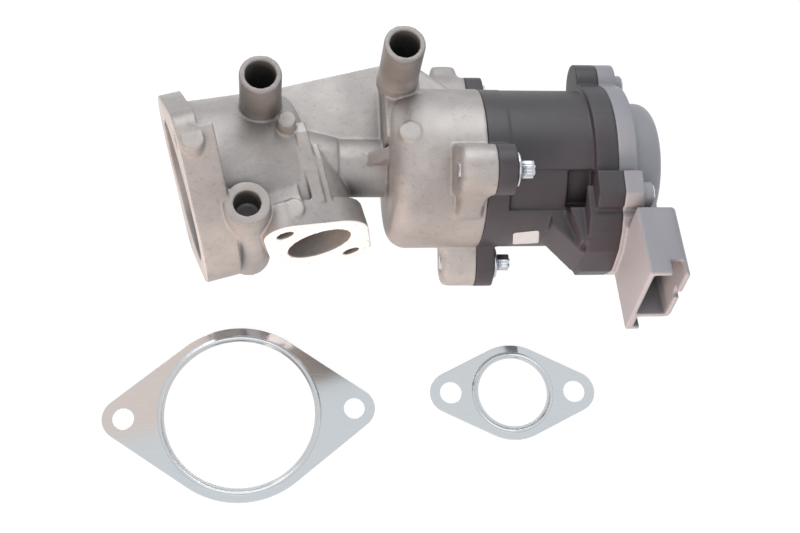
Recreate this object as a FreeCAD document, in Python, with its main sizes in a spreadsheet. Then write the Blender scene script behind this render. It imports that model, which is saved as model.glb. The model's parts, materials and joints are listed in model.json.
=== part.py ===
"""Electric exhaust gas recirculation valve with its two flange gaskets.

A cast aluminium valve housing carries a poppet valve, whose stem runs along +X into a round
actuator. The moulded actuator housing is bolted to three ears of the casting and holds a brushless
motor. The rotor turns a cam barrel, whose two helical slots push the valve stem open against its
return spring. A grey end cover with the connector shroud closes the far end.

The origin is the centre of the large outlet port on its flange face, +X is the valve axis and +Z is
the direction of the two coolant spigots. The ports are turned about Z by port_angle.
"""
import FreeCAD, Part
import math
import os
import re

import Sketcher

Vector = FreeCAD.Vector
Rotation = FreeCAD.Rotation
Placement = FreeCAD.Placement

document = FreeCAD.newDocument("egr_valve")
sheet = document.addObject("Spreadsheet::Sheet", "Sizes")

# Driving sizes, in millimetres and degrees
SIZES = {
    # Frame
    "port_angle": 15,
    "axis_offset": 9.3,
    "running_gap": 0.05,
    "seat_gap": 0.1,
    "free_gap": 0.4,
    # Outlet port and its flange
    "outlet_bore_radius": 29,
    "outlet_bore_depth": 20,
    "throat_radius": 25,
    "throat_depth": 29,
    "outlet_wall": 4,
    "outlet_bolt_spacing": 96,
    "outlet_bolt_hole_radius": 4.4,
    "outlet_flange_radius": 38.2,
    "outlet_tip_radius": 9,
    "outlet_flange_thickness": 14,
    "outlet_tip_thickness": 8.8,
    "duct_length": 51,
    "duct_end_radius": 30,
    "duct_rounding": 11,
    # Inlet port and its flange
    "inlet_along": 46.4,
    "inlet_face": 36.9,
    "inlet_bore_radius": 13,
    "inlet_bore_depth": 20,
    "inlet_throat_radius": 12.4,
    "inlet_wall": 4,
    "inlet_bolt_spacing": 47,
    "inlet_bolt_hole_radius": 3.4,
    "inlet_flange_radius": 20.5,
    "inlet_tip_radius": 8.5,
    "inlet_flange_thickness": 11,
    "inlet_tilt": 52,
    # Coolant spigots and mounting boss
    "spigot_radius": 8,
    "spigot_root_radius": 8.3,
    "first_hose_length": 20,
    "second_hose_length": 24,
    "spigot_bore_radius": 5.75,
    "spigot_top": 53,
    "first_spigot_x": 31.3,
    "first_spigot_y": 23.5,
    "second_spigot_x": 85.7,
    "second_spigot_y": 37,
    "spigot_passage_depth": 26,
    "spigot_pad_top": 24,
    "boss_radius": 8.8,
    "boss_hole_radius": 5.1,
    "boss_x": 26,
    "boss_y": -20,
    "boss_top": 34,
    "boss_length": 56,
    "boss_hole_depth": 12,
    # Neck and actuator chamber of the casting
    "neck_start": 46,
    "neck_radius": 11.7,
    "collar_start": 40,
    "collar_start_radius": 17.5,
    "neck_collar_radius": 12.3,
    "neck_collar_end": 62,
    "neck_wedge_length": 12.5,
    "neck_wedge_top": 20.5,
    "chamber_start": 82,
    "chamber_end": 119,
    "chamber_radius": 32.5,
    "chamber_wall": 4.2,
    "chamber_floor": 5,
    "chamber_rounding": 8,
    "web_thickness": 9,
    "web_top": 5,
    # Three bolted ears
    "front_ear_angle": 114.8,
    "bottom_ear_angle": 211,
    "top_ear_angle": 338,
    "front_ear_circle": 43,
    "bottom_ear_circle": 39.4,
    "top_ear_circle": 43,
    "ear_radius": 9.8,
    "ear_length": 14,
    "top_ear_crest": 6,
    "cover_ear_length": 7.5,
    "bolt_radius": 3,
    "bolt_hole_radius": 3.3,
    "thread_hole_radius": 3.05,
    "bolt_length": 22,
    "bolt_flange_radius": 6.8,
    "bolt_flange_thickness": 1.6,
    "bolt_head_radius": 3.7,
    "bolt_head_height": 5.6,
    # Valve
    "stem_radius": 3,
    "seat_start": 27,
    "seat_length": 6,
    "seat_outer_radius": 17.5,
    "seat_bore_radius": 12,
    "seat_cone": 2.5,
    "closed_gap": 0.3,
    "poppet_radius": 14,
    "poppet_thickness": 4,
    "stroke": 7,
    "bush_start": 58,
    "bush_length": 21,
    "bush_radius": 5.5,
    "seal_radius": 7.5,
    "seal_length": 5,
    # Cam drive
    "pin_x": 108.5,
    "pin_radius": 1.75,
    "roller_radius": 2.5,
    "turn": 120,
    "cam_radius": 11.3,
    "cam_bore_radius": 7.8,
    "cam_start": 96.5,
    "cam_hub": 5,
    "carrier_radius": 18.5,
    "carrier_bore_radius": 11.8,
    "carrier_thickness": 6,
    "rod_radius": 2,
    "rod_start": 92,
    "spring_radius": 14.6,
    "wire_radius": 1,
    "spring_turns": 5,
    # Motor
    "shaft_radius": 4,
    "shaft_end": 179,
    "bearing_radius": 11,
    "bearing_width": 7,
    "front_wall": 9,
    "actuator_radius": 32.1,
    "actuator_wall": 4,
    "recess_depth": 1.8,
    "recess_angle": 115,
    "recess_span": 30,
    "deep_recess_radius": 27,
    "rim_height": 5,
    "rim_wall": 3.5,
    "stator_start": 130,
    "stator_length": 20,
    "stator_bore_radius": 17,
    "yoke": 3.5,
    "rotor_core_radius": 12.6,
    "magnet_thickness": 3.4,
    "rear_bore_radius": 25,
    "plate_start": 160,
    "plate_thickness": 3,
    "sensor_length": 3,
    "board_thickness": 1.6,
    # Gear-side flange and end cover
    "flange_start": 161,
    "flange_end": 170,
    "flange_radius": 34.5,
    "lug_radius": 9.5,
    "lug_start": 159.5,
    "lobe_start": 157,
    "lobe_reach": 48,
    "cover_rim": 7.5,
    "dome_radius": 27,
    "dome_end": 191,
    "dome_rounding": 6,
    "cover_wall": 2.6,
    "screw_radius": 2.3,
    "screw_head_radius": 4.2,
    "screw_head_height": 2.6,
    "screw_length": 16,
    "screw_post": 4,
    "top_screw_y": 33.5,
    "top_screw_z": 8,
    "front_screw_y": -25,
    "front_screw_z": 30.5,
    "under_screw_y": -22,
    "under_screw_z": -27.5,
    "back_screw_y": 12,
    "back_screw_z": -34,
    # Connector shroud
    "shroud_tilt": 13.5,
    "shroud_height": 40,
    "shroud_width": 15.5,
    "shroud_length": 30,
    "shroud_wall": 2,
    "shroud_corner_y": -54.2,
    "shroud_corner_z": 48.1,
    "mouth_notch_width": 5,
    "mouth_notch_depth": 6,
    "side_notch_width": 4,
    "side_notch_depth": 2.5,
    "blade_thickness": 0.8,
    "blade_width": 2.6,
    "blade_length": 16,
    "blade_pitch": 5,
    "first_blade": 6.5,
    # Gaskets
    "gasket_thickness": 0.8,
    "gasket_bead": 0.9,
    "outlet_gasket_spacing": 96.8,
    "outlet_gasket_bore": 31.6,
    "outlet_gasket_hole": 4.5,
    "outlet_gasket_middle": 37.6,
    "outlet_gasket_tip": 8.8,
    "outlet_gasket_x": 21.8,
    "outlet_gasket_y": -78.3,
    "outlet_gasket_turn": 1.4,
    "inlet_gasket_spacing": 54.4,
    "inlet_gasket_bore": 15.2,
    "inlet_gasket_hole": 4.8,
    "inlet_gasket_middle": 21,
    "inlet_gasket_tip": 9,
    "inlet_gasket_x": 139.4,
    "inlet_gasket_y": -71.4,
    "inlet_gasket_turn": -0.5,
    "floor_level": -57,
}

FUNCTIONS = {"sin", "cos", "tan", "sqrt", "min", "max"}


def write_sizes():
    """Put each driving size into its own named cell."""
    for row, (name, value) in enumerate(SIZES.items(), start=1):
        sheet.set("A%d" % row, name)
        sheet.set("B%d" % row, str(value))
        sheet.setAlias("B%d" % row, name)
    document.recompute()


def size(name):
    """The value of one named size."""
    return float(sheet.get(name))


def in_sheet(formula):
    """The formula with each size name written as a cell of the sheet."""
    def cell(match):
        word = match.group()
        return word if word in FUNCTIONS else "Sizes." + word
    return re.sub(r"[A-Za-z_]\w*", cell, str(formula))


def tie(item, **formulas):
    """Bind properties of an object to formulas of the driving sizes."""
    for name, formula in formulas.items():
        item.setExpression(name, in_sheet(formula))


def put(item, x=0, y=0, z=0):
    """Bind the place of an object to formulas of the driving sizes."""
    for letter, formula in (("x", x), ("y", y), ("z", z)):
        item.setExpression(".Placement.Base." + letter, in_sheet(formula))
    return item


TURNS = {
    "x": Rotation(Vector(0, 1, 0), 90),
    "-x": Rotation(Vector(0, 1, 0), -90),
    "y": Rotation(Vector(1, 0, 0), -90),
    "-y": Rotation(Vector(1, 0, 0), 90),
    "z": Rotation(),
    "-z": Rotation(Vector(1, 0, 0), 180),
}


def cylinder(name, radius, length, x=0, y=0, z=0, along="x"):
    """A cylinder that starts at a point and runs along an axis."""
    solid = document.addObject("Part::Cylinder", name)
    tie(solid, Radius=radius, Height=length)
    solid.Placement = Placement(Vector(), TURNS[along])
    return put(solid, x, y, z)


def cone(name, radius_1, radius_2, length, x=0, y=0, z=0, along="x"):
    """A cone that starts at a point and runs along an axis."""
    solid = document.addObject("Part::Cone", name)
    tie(solid, Radius1=radius_1, Radius2=radius_2, Height=length)
    solid.Placement = Placement(Vector(), TURNS[along])
    return put(solid, x, y, z)


def block(name, length, width, height, x=0, y=0, z=0):
    """A box from its lowest corner."""
    solid = document.addObject("Part::Box", name)
    tie(solid, Length=length, Width=width, Height=height)
    return put(solid, x, y, z)


def fuse(name, parts):
    """One solid from several that touch."""
    joined = document.addObject("Part::MultiFuse", name)
    joined.Shapes = parts
    joined.Refine = True
    return joined


def cut(name, base, tools):
    """A solid less one or more others."""
    result = document.addObject("Part::Cut", name)
    result.Base = base
    result.Tool = tools[0] if len(tools) == 1 else fuse(name + "_tools", tools)
    result.Refine = True
    return result


def compound(name, parts):
    """Several separate solids of one kind, kept in one node."""
    group = document.addObject("Part::Compound", name)
    group.Links = parts
    return group


def origin_plane(body, role):
    """The plane of a body's own origin that has this role."""
    return next(p for p in body.Origin.OriginFeatures if p.Role == role)


def outline_sketch(sketch, points):
    """Draw a closed outline whose corners are bound to pairs of formulas."""
    values = [(evaluate(x), evaluate(y)) for x, y in points]
    count = len(points)
    for number in range(count):
        start = Vector(*values[number], 0)
        end = Vector(*values[(number + 1) % count], 0)
        sketch.addGeometry(Part.LineSegment(start, end))
    for number in range(count):
        sketch.addConstraint(
            Sketcher.Constraint("Coincident", number, 2, (number + 1) % count, 1))
    for number, (x, y) in enumerate(points):
        for kind, formula, value in (("DistanceX", x, values[number][0]),
                                     ("DistanceY", y, values[number][1])):
            if abs(value) < 1e-9:
                axis = -2 if kind == "DistanceX" else -1
                sketch.addConstraint(Sketcher.Constraint("PointOnObject", number, 1, axis))
                continue
            index = sketch.addConstraint(Sketcher.Constraint(kind, -1, 1, number, 1, value))
            sketch.setExpression("Constraints[%d]" % index, in_sheet(formula))


def evaluate(formula):
    """The present value of a formula of the driving sizes."""
    probe = str(formula)
    names = {word: size(word) for word in set(re.findall(r"[A-Za-z_]\w*", probe)) - FUNCTIONS}
    for word in sorted(names, key=len, reverse=True):
        probe = re.sub(r"\b%s\b" % word, "(%r)" % names[word], probe)
    return float(sheet.evalExpression(probe))


def turned(name, points, angle=360):
    """A body turned about the valve axis from an outline of station and radius pairs."""
    body = document.addObject("PartDesign::Body", name)
    sketch = body.newObject("Sketcher::SketchObject", name + "_outline")
    sketch.AttachmentSupport = [(origin_plane(body, "XY_Plane"), "")]
    sketch.MapMode = "FlatFace"
    outline_sketch(sketch, points)
    turn = body.newObject("PartDesign::Revolution", name + "_turned")
    turn.Profile = sketch
    turn.ReferenceAxis = (sketch, ["H_Axis"])
    turn.Angle = angle
    put(body, 0, "axis_offset", 0)
    return body


def ring(name, start, length, inner, outer):
    """A plain turned ring on the valve axis."""
    end = "%s + %s" % (start, length)
    return turned(name, [(start, inner), (end, inner), (end, outer), (start, outer)])




def prism(name, points, length, start="0", plane="XY"):
    """A straight solid from an outline, grown along the third axis from a starting level."""
    sketch = document.addObject("Sketcher::SketchObject", name + "_outline")
    outline_sketch(sketch, points)
    return grown(name, sketch, length, start, plane)


def grown(name, sketch, length, start, plane):
    """Grow a sketch into a solid along the normal of its plane."""
    turns = {
        "XY": Rotation(),
        "YZ": Rotation(Vector(0, 1, 0), Vector(0, 0, 1), Vector(1, 0, 0)),
        "ZY": Rotation(Vector(0, 0, 1), Vector(0, -1, 0), Vector(1, 0, 0)),
        "XZ": Rotation(Vector(1, 0, 0), Vector(0, 0, -1), Vector(0, 1, 0)),
    }
    sketch.Placement = Placement(Vector(), turns[plane])
    solid = document.addObject("Part::Extrusion", name)
    solid.Base = sketch
    solid.DirMode = "Normal"
    solid.Solid = True
    tie(solid, LengthFwd=length)
    level = {"XY": "z", "YZ": "x", "ZY": "x", "XZ": "y"}[plane]
    return put(solid, **{level: start})


def diamond_sketch(name, spacing, middle, tip):
    """A two-hole flange outline: a round middle and two round ends, joined by tangent lines."""
    sketch = document.addObject("Sketcher::SketchObject", name)
    reach = evaluate(spacing) / 2
    big = evaluate(middle)
    small = evaluate(tip)
    lean = math.acos((big - small) / reach)
    across = math.degrees(lean)
    arcs = ((0, big, across, 180 - across), (-reach, small, 180 - across, 180 + across),
            (0, big, 180 + across, 360 - across), (reach, small, -across, across))
    for x, radius, start, end in arcs:
        circle = Part.Circle(Vector(x, 0, 0), Vector(0, 0, 1), radius)
        sketch.addGeometry(Part.ArcOfCircle(circle, math.radians(start), math.radians(end)))
    corners = [((0, big, 180 - across), (-reach, small, 180 - across)),
               ((-reach, small, 180 + across), (0, big, 180 + across)),
               ((0, big, -across), (reach, small, -across)),
               ((reach, small, across), (0, big, across))]
    for ends in corners:
        points = [Vector(x + r * math.cos(math.radians(a)), r * math.sin(math.radians(a)), 0)
                  for x, r, a in ends]
        sketch.addGeometry(Part.LineSegment(*points))
    for number in range(4):
        line = 4 + number
        following = (number + 1) % 4
        sketch.addConstraint(Sketcher.Constraint("Tangent", number, 2, line, 1))
        sketch.addConstraint(Sketcher.Constraint("Tangent", line, 2, following, 1))
    for middle_arc in (0, 2):
        sketch.addConstraint(Sketcher.Constraint("Coincident", middle_arc, 3, -1, 1))
        index = sketch.addConstraint(Sketcher.Constraint("Radius", middle_arc, big))
        sketch.setExpression("Constraints[%d]" % index, in_sheet(middle))
    for tip_arc, sign in ((1, "-"), (3, "")):
        sketch.addConstraint(Sketcher.Constraint("PointOnObject", tip_arc, 3, -1))
        place = reach if not sign else -reach
        index = sketch.addConstraint(Sketcher.Constraint("DistanceX", -1, 1, tip_arc, 3, place))
        sketch.setExpression("Constraints[%d]" % index, in_sheet("%s(%s) / 2" % (sign, spacing)))
        index = sketch.addConstraint(Sketcher.Constraint("Radius", tip_arc, small))
        sketch.setExpression("Constraints[%d]" % index, in_sheet(tip))
    return sketch


def rounded(name, base, radius, chosen):
    """Round the edges that a test picks by their middle point and the edge itself."""
    document.recompute()
    amount = evaluate(radius)
    edges = [(number, amount, amount) for number, edge in enumerate(base.Shape.Edges, start=1)
             if chosen(edge)]
    if not edges:
        raise RuntimeError(name + " found no edge to round")
    fillet = document.addObject("Part::Fillet", name)
    fillet.Base = base
    fillet.Edges = edges
    return fillet


def round_edge(edge, radius, x):
    """True for a full circle of this radius about the valve axis at this station."""
    curve = edge.Curve
    return (isinstance(curve, Part.Circle) and abs(curve.Radius - evaluate(radius)) < 0.01
            and abs(curve.Center.x - evaluate(x)) < 0.01)


def about_axis(item, angle):
    """Turn a piece that was drawn round the X axis, and move it to the valve axis."""
    item.Placement = Placement(Vector(), Rotation(Vector(1, 0, 0), angle))
    return put(item, 0, "axis_offset", 0)


def in_port_frame(item):
    """Turn a piece drawn in the frame of the two ports into the valve's frame."""
    item.Placement = Placement(Vector(), Rotation(Vector(0, 0, 1), size("port_angle")))
    return item


EARS = ("front_ear", "bottom_ear", "top_ear")


def ear(name, which, start, length, inner):
    """One bolted ear with its web down to the round wall."""
    circle = which + "_circle"
    post = cylinder(name + "_post", "ear_radius", length, start, circle, 0)
    web = block(name + "_web", length, "%s - (%s)" % (circle, inner), "2 * ear_radius",
                start, inner, "-ear_radius")
    return about_axis(fuse(name, [post, web]), size(which + "_angle"))


def ear_points():
    """The height and depth of each ear's bolt axis, as formulas."""
    return [("axis_offset + {0}_circle * cos({0}_angle)".format(which),
             "{0}_circle * sin({0}_angle)".format(which)) for which in EARS]


def at_points(name, points, radius, length, start):
    """The same cylinder at several points, along the valve axis."""
    return [cylinder("%s_%d" % (name, number), radius, length, start, y, z)
            for number, (y, z) in enumerate(points, start=1)]


SEAT_END = "(seat_start + seat_length)"
FLOOR = "(chamber_start + chamber_floor)"
BARREL_END = "(chamber_end - 1.5)"
SPRING_END = "(pin_x - carrier_thickness / 2)"
ROD_CIRCLE = "(chamber_radius - chamber_wall - 3.4 * rod_radius)"


def valve_housing():
    """The cast aluminium body with both ports, neck, actuator chamber and coolant spigots."""
    ports = ports_outside()
    chamber = cylinder("chamber_wall_outside", "chamber_radius", "chamber_end - chamber_start",
                       "chamber_start", "axis_offset", 0)
    chamber = rounded("chamber_rounded", chamber, "chamber_rounding",
                      lambda e: round_edge(e, "chamber_radius", "chamber_start"))
    neck = cylinder("neck", "neck_radius", "chamber_start - neck_start + 2", "neck_start",
                    "axis_offset", 0)
    collar = cone("neck_collar", "collar_start_radius", "neck_collar_radius",
                  "neck_collar_end - collar_start", "collar_start", "axis_offset", 0, "x")
    gusset = prism("neck_gusset", [
        ("chamber_start + 1 - neck_wedge_length", "3 - neck_radius"),
        ("chamber_start + 1", "3 - neck_radius"), ("chamber_start + 1", "-neck_wedge_top")],
        5, "axis_offset - 3.8", "XZ")
    pad = block("second_spigot_pad", 14, 32, "spigot_pad_top + 4", "chamber_start - 1.5",
                "axis_offset + 3", -4)
    web = prism("web_plate", [
        ("outlet_flange_thickness - 6", "first_spigot_y - 3.5"),
        ("outlet_flange_thickness - 6", "first_spigot_y + 8"),
        ("first_spigot_x - 8.3", "first_spigot_y + 15.9"),
        ("second_spigot_x - 5.4", "second_spigot_y + 17"),
        ("second_spigot_x + 7.3", "second_spigot_y + 20.3"),
        ("second_spigot_x + 14.3", "second_spigot_y + 15.6"),
        ("chamber_end - 8", "axis_offset + chamber_radius + 2.5"),
        ("chamber_end - 8", "axis_offset"), ("neck_start + 14", "axis_offset + 2.7")],
        "web_thickness", "web_top - web_thickness")
    spigots = spigot("first", 10) + spigot("second", "spigot_pad_top - 3")
    boss = cylinder("mounting_boss", "boss_radius", "boss_length", "boss_x", "boss_y",
                    "boss_top - boss_length", "z")
    pips = [
        cylinder("ejector_on_duct", 3.5, 12, "inlet_along - 5.2", "axis_offset + 3.5",
                 "outlet_bore_radius - 3", "z"),
        cylinder("ejector_on_chamber", 4.4, 4, "chamber_start + 6.6", "axis_offset + 1.1",
                 "chamber_radius - 3.6", "z"),
    ]
    ears = [ear("housing_" + which, which, "chamber_end - ear_length", "ear_length",
                "chamber_radius - 4") for which in EARS]
    crest = block("top_ear_crest_block", "ear_length - 2", "ear_radius + top_ear_crest",
                  "1.5 * ear_radius", "chamber_end - ear_length", "top_ear_circle",
                  "-0.75 * ear_radius")
    crest = about_axis(fuse_one("top_ear_crest_placed", crest), size("top_ear_angle"))
    skirt = prism("front_ear_skirt", [
        ("axis_offset - 27.8", "front_ear_circle - 4"), ("axis_offset - 29.5", 16),
        ("axis_offset - 10", 20), ("axis_offset - 10", "front_ear_circle - 4")],
        "ear_length - 4", "chamber_end - ear_length + 2", "YZ")
    solid = fuse("housing_outside", [crest, skirt, ports, chamber, neck, collar, gusset, pad, web,
                                     boss] + spigots + pips + ears)
    return cut("valve_housing", solid, housing_cavities())


def spigot(word, root):
    """A hose spigot: the hose's length at the top, and a wider root down to the casting."""
    place = (word + "_spigot_x", word + "_spigot_y")
    shoulder = "(spigot_top - %s_hose_length)" % word
    return [
        cylinder(word + "_spigot_hose", "spigot_radius", "%s_hose_length + 2" % word, *place,
                 shoulder + " - 2", "z"),
        cylinder(word + "_spigot_root", "spigot_root_radius", "%s - (%s)" % (shoulder, root),
                 *place, root, "z"),
    ]


def ports_outside():
    """Outlet duct and flange, inlet block and flange, in the frame of the ports."""
    flange = grown("outlet_flange", diamond_sketch(
        "outlet_flange_outline", "outlet_bolt_spacing", "outlet_flange_radius",
        "outlet_tip_radius"), "outlet_flange_thickness", "0", "ZY")
    duct = cone("outlet_duct", "outlet_bore_radius + outlet_wall + 1.5", "duct_end_radius",
                "duct_length", 0, 0, 0)
    duct = rounded("outlet_duct_rounded", duct, "duct_rounding",
                   lambda e: isinstance(e.Curve, Part.Circle)
                   and abs(e.Curve.Center.x - size("duct_length")) < 0.01)
    tube = cylinder("inlet_tube", "inlet_bore_radius + inlet_wall", "inlet_face - 4",
                    "inlet_along", -4, 0, "-y")
    small_sketch = diamond_sketch("inlet_flange_outline", "inlet_bolt_spacing",
                                  "inlet_flange_radius", "inlet_tip_radius")
    small = document.addObject("Part::Extrusion", "inlet_flange")
    small.Base = small_sketch
    small.DirMode = "Normal"
    small.Solid = True
    tie(small, LengthFwd="inlet_flange_thickness")
    tilt = math.radians(size("inlet_tilt"))
    small.Placement = Placement(Vector(), Rotation(
        Vector(math.cos(tilt), 0, -math.sin(tilt)), Vector(-math.sin(tilt), 0, -math.cos(tilt)),
        Vector(0, 1, 0)))
    put(small, "inlet_along", "-inlet_face", 0)
    saddle = prism("inlet_saddle", [
        ("-inlet_face + 8", -16), ("-inlet_face + 8", 19), (-13, 27.2), (-6, 27.2), (-6, -20)],
        "2 * (inlet_bore_radius - 1)", "inlet_along - 17", "YZ")
    rib = prism("inlet_rib", [
        ("-inlet_face + 9", 10), ("-inlet_face + 9", 22), (-2, 31.5), (3, 30), (3, 10)],
        5, "inlet_along - 1", "YZ")
    boss_web = block("boss_web", 14, 8, 46, 8, -29, -22)
    fin = prism("boss_fin", [
        ("outlet_flange_thickness - 7.3", -22.3), ("outlet_flange_thickness + 0.1", -16.2),
        ("outlet_flange_thickness + 2", -24)], 12, "boss_top - 12.5", "XY")
    shoulder = block("inlet_shoulder", 13.8, 8, 30, "inlet_along - 18.9", "10 - inlet_face", -5.5)
    pips = [
        cylinder("ejector_on_flange", 4.2, 8, 5.5, -6.3, "outlet_bolt_spacing / 2 + 0.5", "z"),
        cylinder("ejector_on_inlet", 3.9, 12, "inlet_along - 9", "7.7 - inlet_face", 14.3, "z"),
    ]
    body = fuse("ports_body", [flange, duct, tube, small, saddle, rib, boss_web, fin, shoulder]
                + pips)
    step = block("outlet_tip_step", "outlet_flange_thickness", 40, 30, "outlet_tip_thickness",
                 -1, "outlet_bolt_spacing / 2 - 6")
    return in_port_frame(cut("ports_outside", body, [step]))


def housing_cavities():
    """Everything that is cast or machined out of the housing."""
    outlet = cylinder("outlet_bore", "outlet_bore_radius", "outlet_bore_depth + 1", -1, 0, 0)
    throat = cylinder("outlet_throat", "throat_radius", "throat_depth + 1", -1, 0, 0)
    inlet = cylinder("inlet_bore", "inlet_bore_radius", "inlet_bore_depth + 1", "inlet_along",
                     "-inlet_face - 1", 0, "y")
    inlet_throat = cylinder("inlet_throat", "inlet_throat_radius",
                            "inlet_face - inlet_bore_depth + 1", "inlet_along",
                            "inlet_bore_depth - inlet_face - 1", 0, "y")
    outlet_holes = [cylinder("outlet_hole_%s" % word, "outlet_bolt_hole_radius",
                             "outlet_flange_thickness + 2", -1, 0,
                             sign + "outlet_bolt_spacing / 2")
                    for word, sign in (("upper", ""), ("lower", "-"))]
    inlet_holes = []
    for word, sign in (("upper", "-"), ("lower", "")):
        inlet_holes.append(cylinder(
            "inlet_hole_" + word, "inlet_bolt_hole_radius", "inlet_flange_thickness + 5",
            "inlet_along + %sinlet_bolt_spacing / 2 * cos(inlet_tilt)" % (sign or "1 * "),
            "-inlet_face - 1",
            "%sinlet_bolt_spacing / 2 * sin(inlet_tilt)" % ("" if sign else "-"), "y"))
    ports = in_port_frame(fuse("port_cavities", [outlet, throat, inlet, inlet_throat]
                               + outlet_holes + inlet_holes))
    round_cuts = [
        cylinder("seat_pocket", "seat_outer_radius + seat_gap", "18 + seat_length",
                 "seat_start - 18", "axis_offset", 0),
        cylinder("inlet_chamber", "inlet_bore_radius + 0.5",
                 "neck_start + 1 - %s + 0.5" % SEAT_END, SEAT_END + " - 0.5", "axis_offset", 0),
        cone("inlet_chamber_end", "inlet_bore_radius + 0.5", "bush_radius + 1",
             "bush_start - 2 - neck_start", "neck_start + 1", "axis_offset", 0, "x"),
        cylinder("bush_bore", "bush_radius + seat_gap",
                 "%s - seal_length - bush_start + 3.5" % FLOOR, "bush_start - 3",
                 "axis_offset", 0),
        cylinder("seal_pocket", "seal_radius + seat_gap", "seal_length + 10",
                 "chamber_start + chamber_floor - seal_length", "axis_offset", 0),
        cylinder("chamber_cavity", "chamber_radius - chamber_wall",
                 "chamber_end - chamber_start - chamber_floor + 1",
                 "chamber_start + chamber_floor", "axis_offset", 0),
    ]
    coolant = [
        cylinder("first_spigot_bore", "spigot_bore_radius", "spigot_passage_depth + 1",
                 "first_spigot_x", "first_spigot_y", "spigot_top - spigot_passage_depth", "z"),
        cylinder("second_spigot_bore", "spigot_bore_radius", "spigot_passage_depth + 1",
                 "second_spigot_x", "second_spigot_y", "spigot_top - spigot_passage_depth", "z"),
        cylinder("boss_hole", "boss_hole_radius", "boss_hole_depth + 1", "boss_x", "boss_y",
                 "boss_top - boss_hole_depth", "z"),
    ]
    threads = at_points("ear_thread", ear_points(), "thread_hole_radius", "ear_length + 2",
                        "chamber_end - ear_length - 1")
    return [ports] + round_cuts + coolant + threads


def valve_seat_ring():
    """The pressed-in seat with its conical sealing face."""
    return turned("valve_seat_ring", [
        ("seat_start", "seat_bore_radius + seat_cone"),
        ("seat_start + seat_cone", "seat_bore_radius"), (SEAT_END, "seat_bore_radius"),
        (SEAT_END, "seat_outer_radius"), ("seat_start", "seat_outer_radius")])


def poppet_valve():
    """Valve head and stem in one turned piece, with a cone that meets the seat."""
    face = "(seat_start + seat_bore_radius + seat_cone - poppet_radius - closed_gap)"
    return turned("poppet_valve", [
        (face + " - poppet_thickness", 0), (face + " - poppet_thickness", "poppet_radius - 1.5"),
        (face + " - poppet_thickness + 1.5", "poppet_radius"), (face, "poppet_radius"),
        (face + " + poppet_radius - seat_bore_radius", "seat_bore_radius"),
        (face + " + 3", "stem_radius + 5"), (face + " + 5", "stem_radius + 1"),
        (face + " + 10", "stem_radius"), ("pin_x + 3.2", "stem_radius"),
        ("pin_x + 4", "stem_radius - 0.8"), ("pin_x + 4", 0)])


def stem_guide_bush():
    """The bush that guides the stem in the neck."""
    return ring("stem_guide_bush", "bush_start", "bush_length", "stem_radius + running_gap",
                "bush_radius")


def stem_seal():
    """The lip seal at the floor of the actuator chamber."""
    start = "(%s - seal_length)" % FLOOR
    lip = "stem_radius + running_gap"
    return turned("stem_seal", [
        (start, "stem_radius + 1.4"), (start + " + 1.2", lip), (start + " + 1.9", lip),
        (start + " + 2.4", "stem_radius + 1.6"), (FLOOR + " - 0.3", "stem_radius + 1.6"),
        (FLOOR + " - 0.3", "seal_radius"), (start, "seal_radius")])


def return_spring():
    """The coil spring that holds the valve shut."""
    start = "(%s + wire_radius + 0.1)" % FLOOR
    rise = "(%s - 2 * wire_radius - 0.2)" % ("%s - %s" % (SPRING_END, FLOOR))
    helix = document.addObject("Part::Helix", "spring_line")
    tie(helix, Radius="spring_radius", Height=rise, Pitch="%s / spring_turns" % rise)
    helix.Placement = Placement(Vector(), TURNS["x"])
    put(helix, start, "axis_offset", 0)
    wire = document.addObject("Part::Circle", "spring_wire")
    tie(wire, Radius="wire_radius")
    wire.Placement = Placement(Vector(), Rotation())
    put(wire, start, "axis_offset", "-spring_radius")
    document.recompute()
    spring = document.addObject("Part::Feature", "return_spring")
    path = Part.Wire(helix.Shape.Edges)
    middle = path.Edges[0].valueAt(path.Edges[0].FirstParameter)
    direction = path.Edges[0].tangentAt(path.Edges[0].FirstParameter)
    section = Part.Wire(Part.makeCircle(size("wire_radius"), middle, direction))
    spring.Shape = path.makePipeShell([section], True, True)
    return spring


def cross_pin():
    """The pin through the stem that carries both rollers."""
    return cylinder("cross_pin", "pin_radius", "2 * (carrier_radius - 1)", "pin_x",
                    "axis_offset", "-carrier_radius + 1", "z")


def stem_and_pin_holes():
    """The stem with its cross hole cut to the pin."""
    stem = poppet_valve()
    hole = cylinder("stem_cross_hole", "pin_radius", "4 * stem_radius", "pin_x",
                    "axis_offset", "-2 * stem_radius", "z")
    return cut("poppet_valve_drilled", stem, [hole])


def rollers():
    """Two rollers on the cross pin, one in each slot of the cam barrel."""
    parts = []
    for word, start in (("upper", "cam_bore_radius + 0.3"), ("lower", "-cam_radius + 0.2")):
        outer = cylinder("roller_%s_outside" % word, "roller_radius",
                         "cam_radius - cam_bore_radius - 0.5", "pin_x", "axis_offset", start, "z")
        inner = cylinder("roller_%s_bore" % word, "pin_radius + running_gap",
                         "cam_radius - cam_bore_radius + 1", "pin_x", "axis_offset",
                         start + " - 0.5", "z")
        parts.append(cut("roller_" + word, outer, [inner]))
    return compound("cam_rollers", parts)


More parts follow.
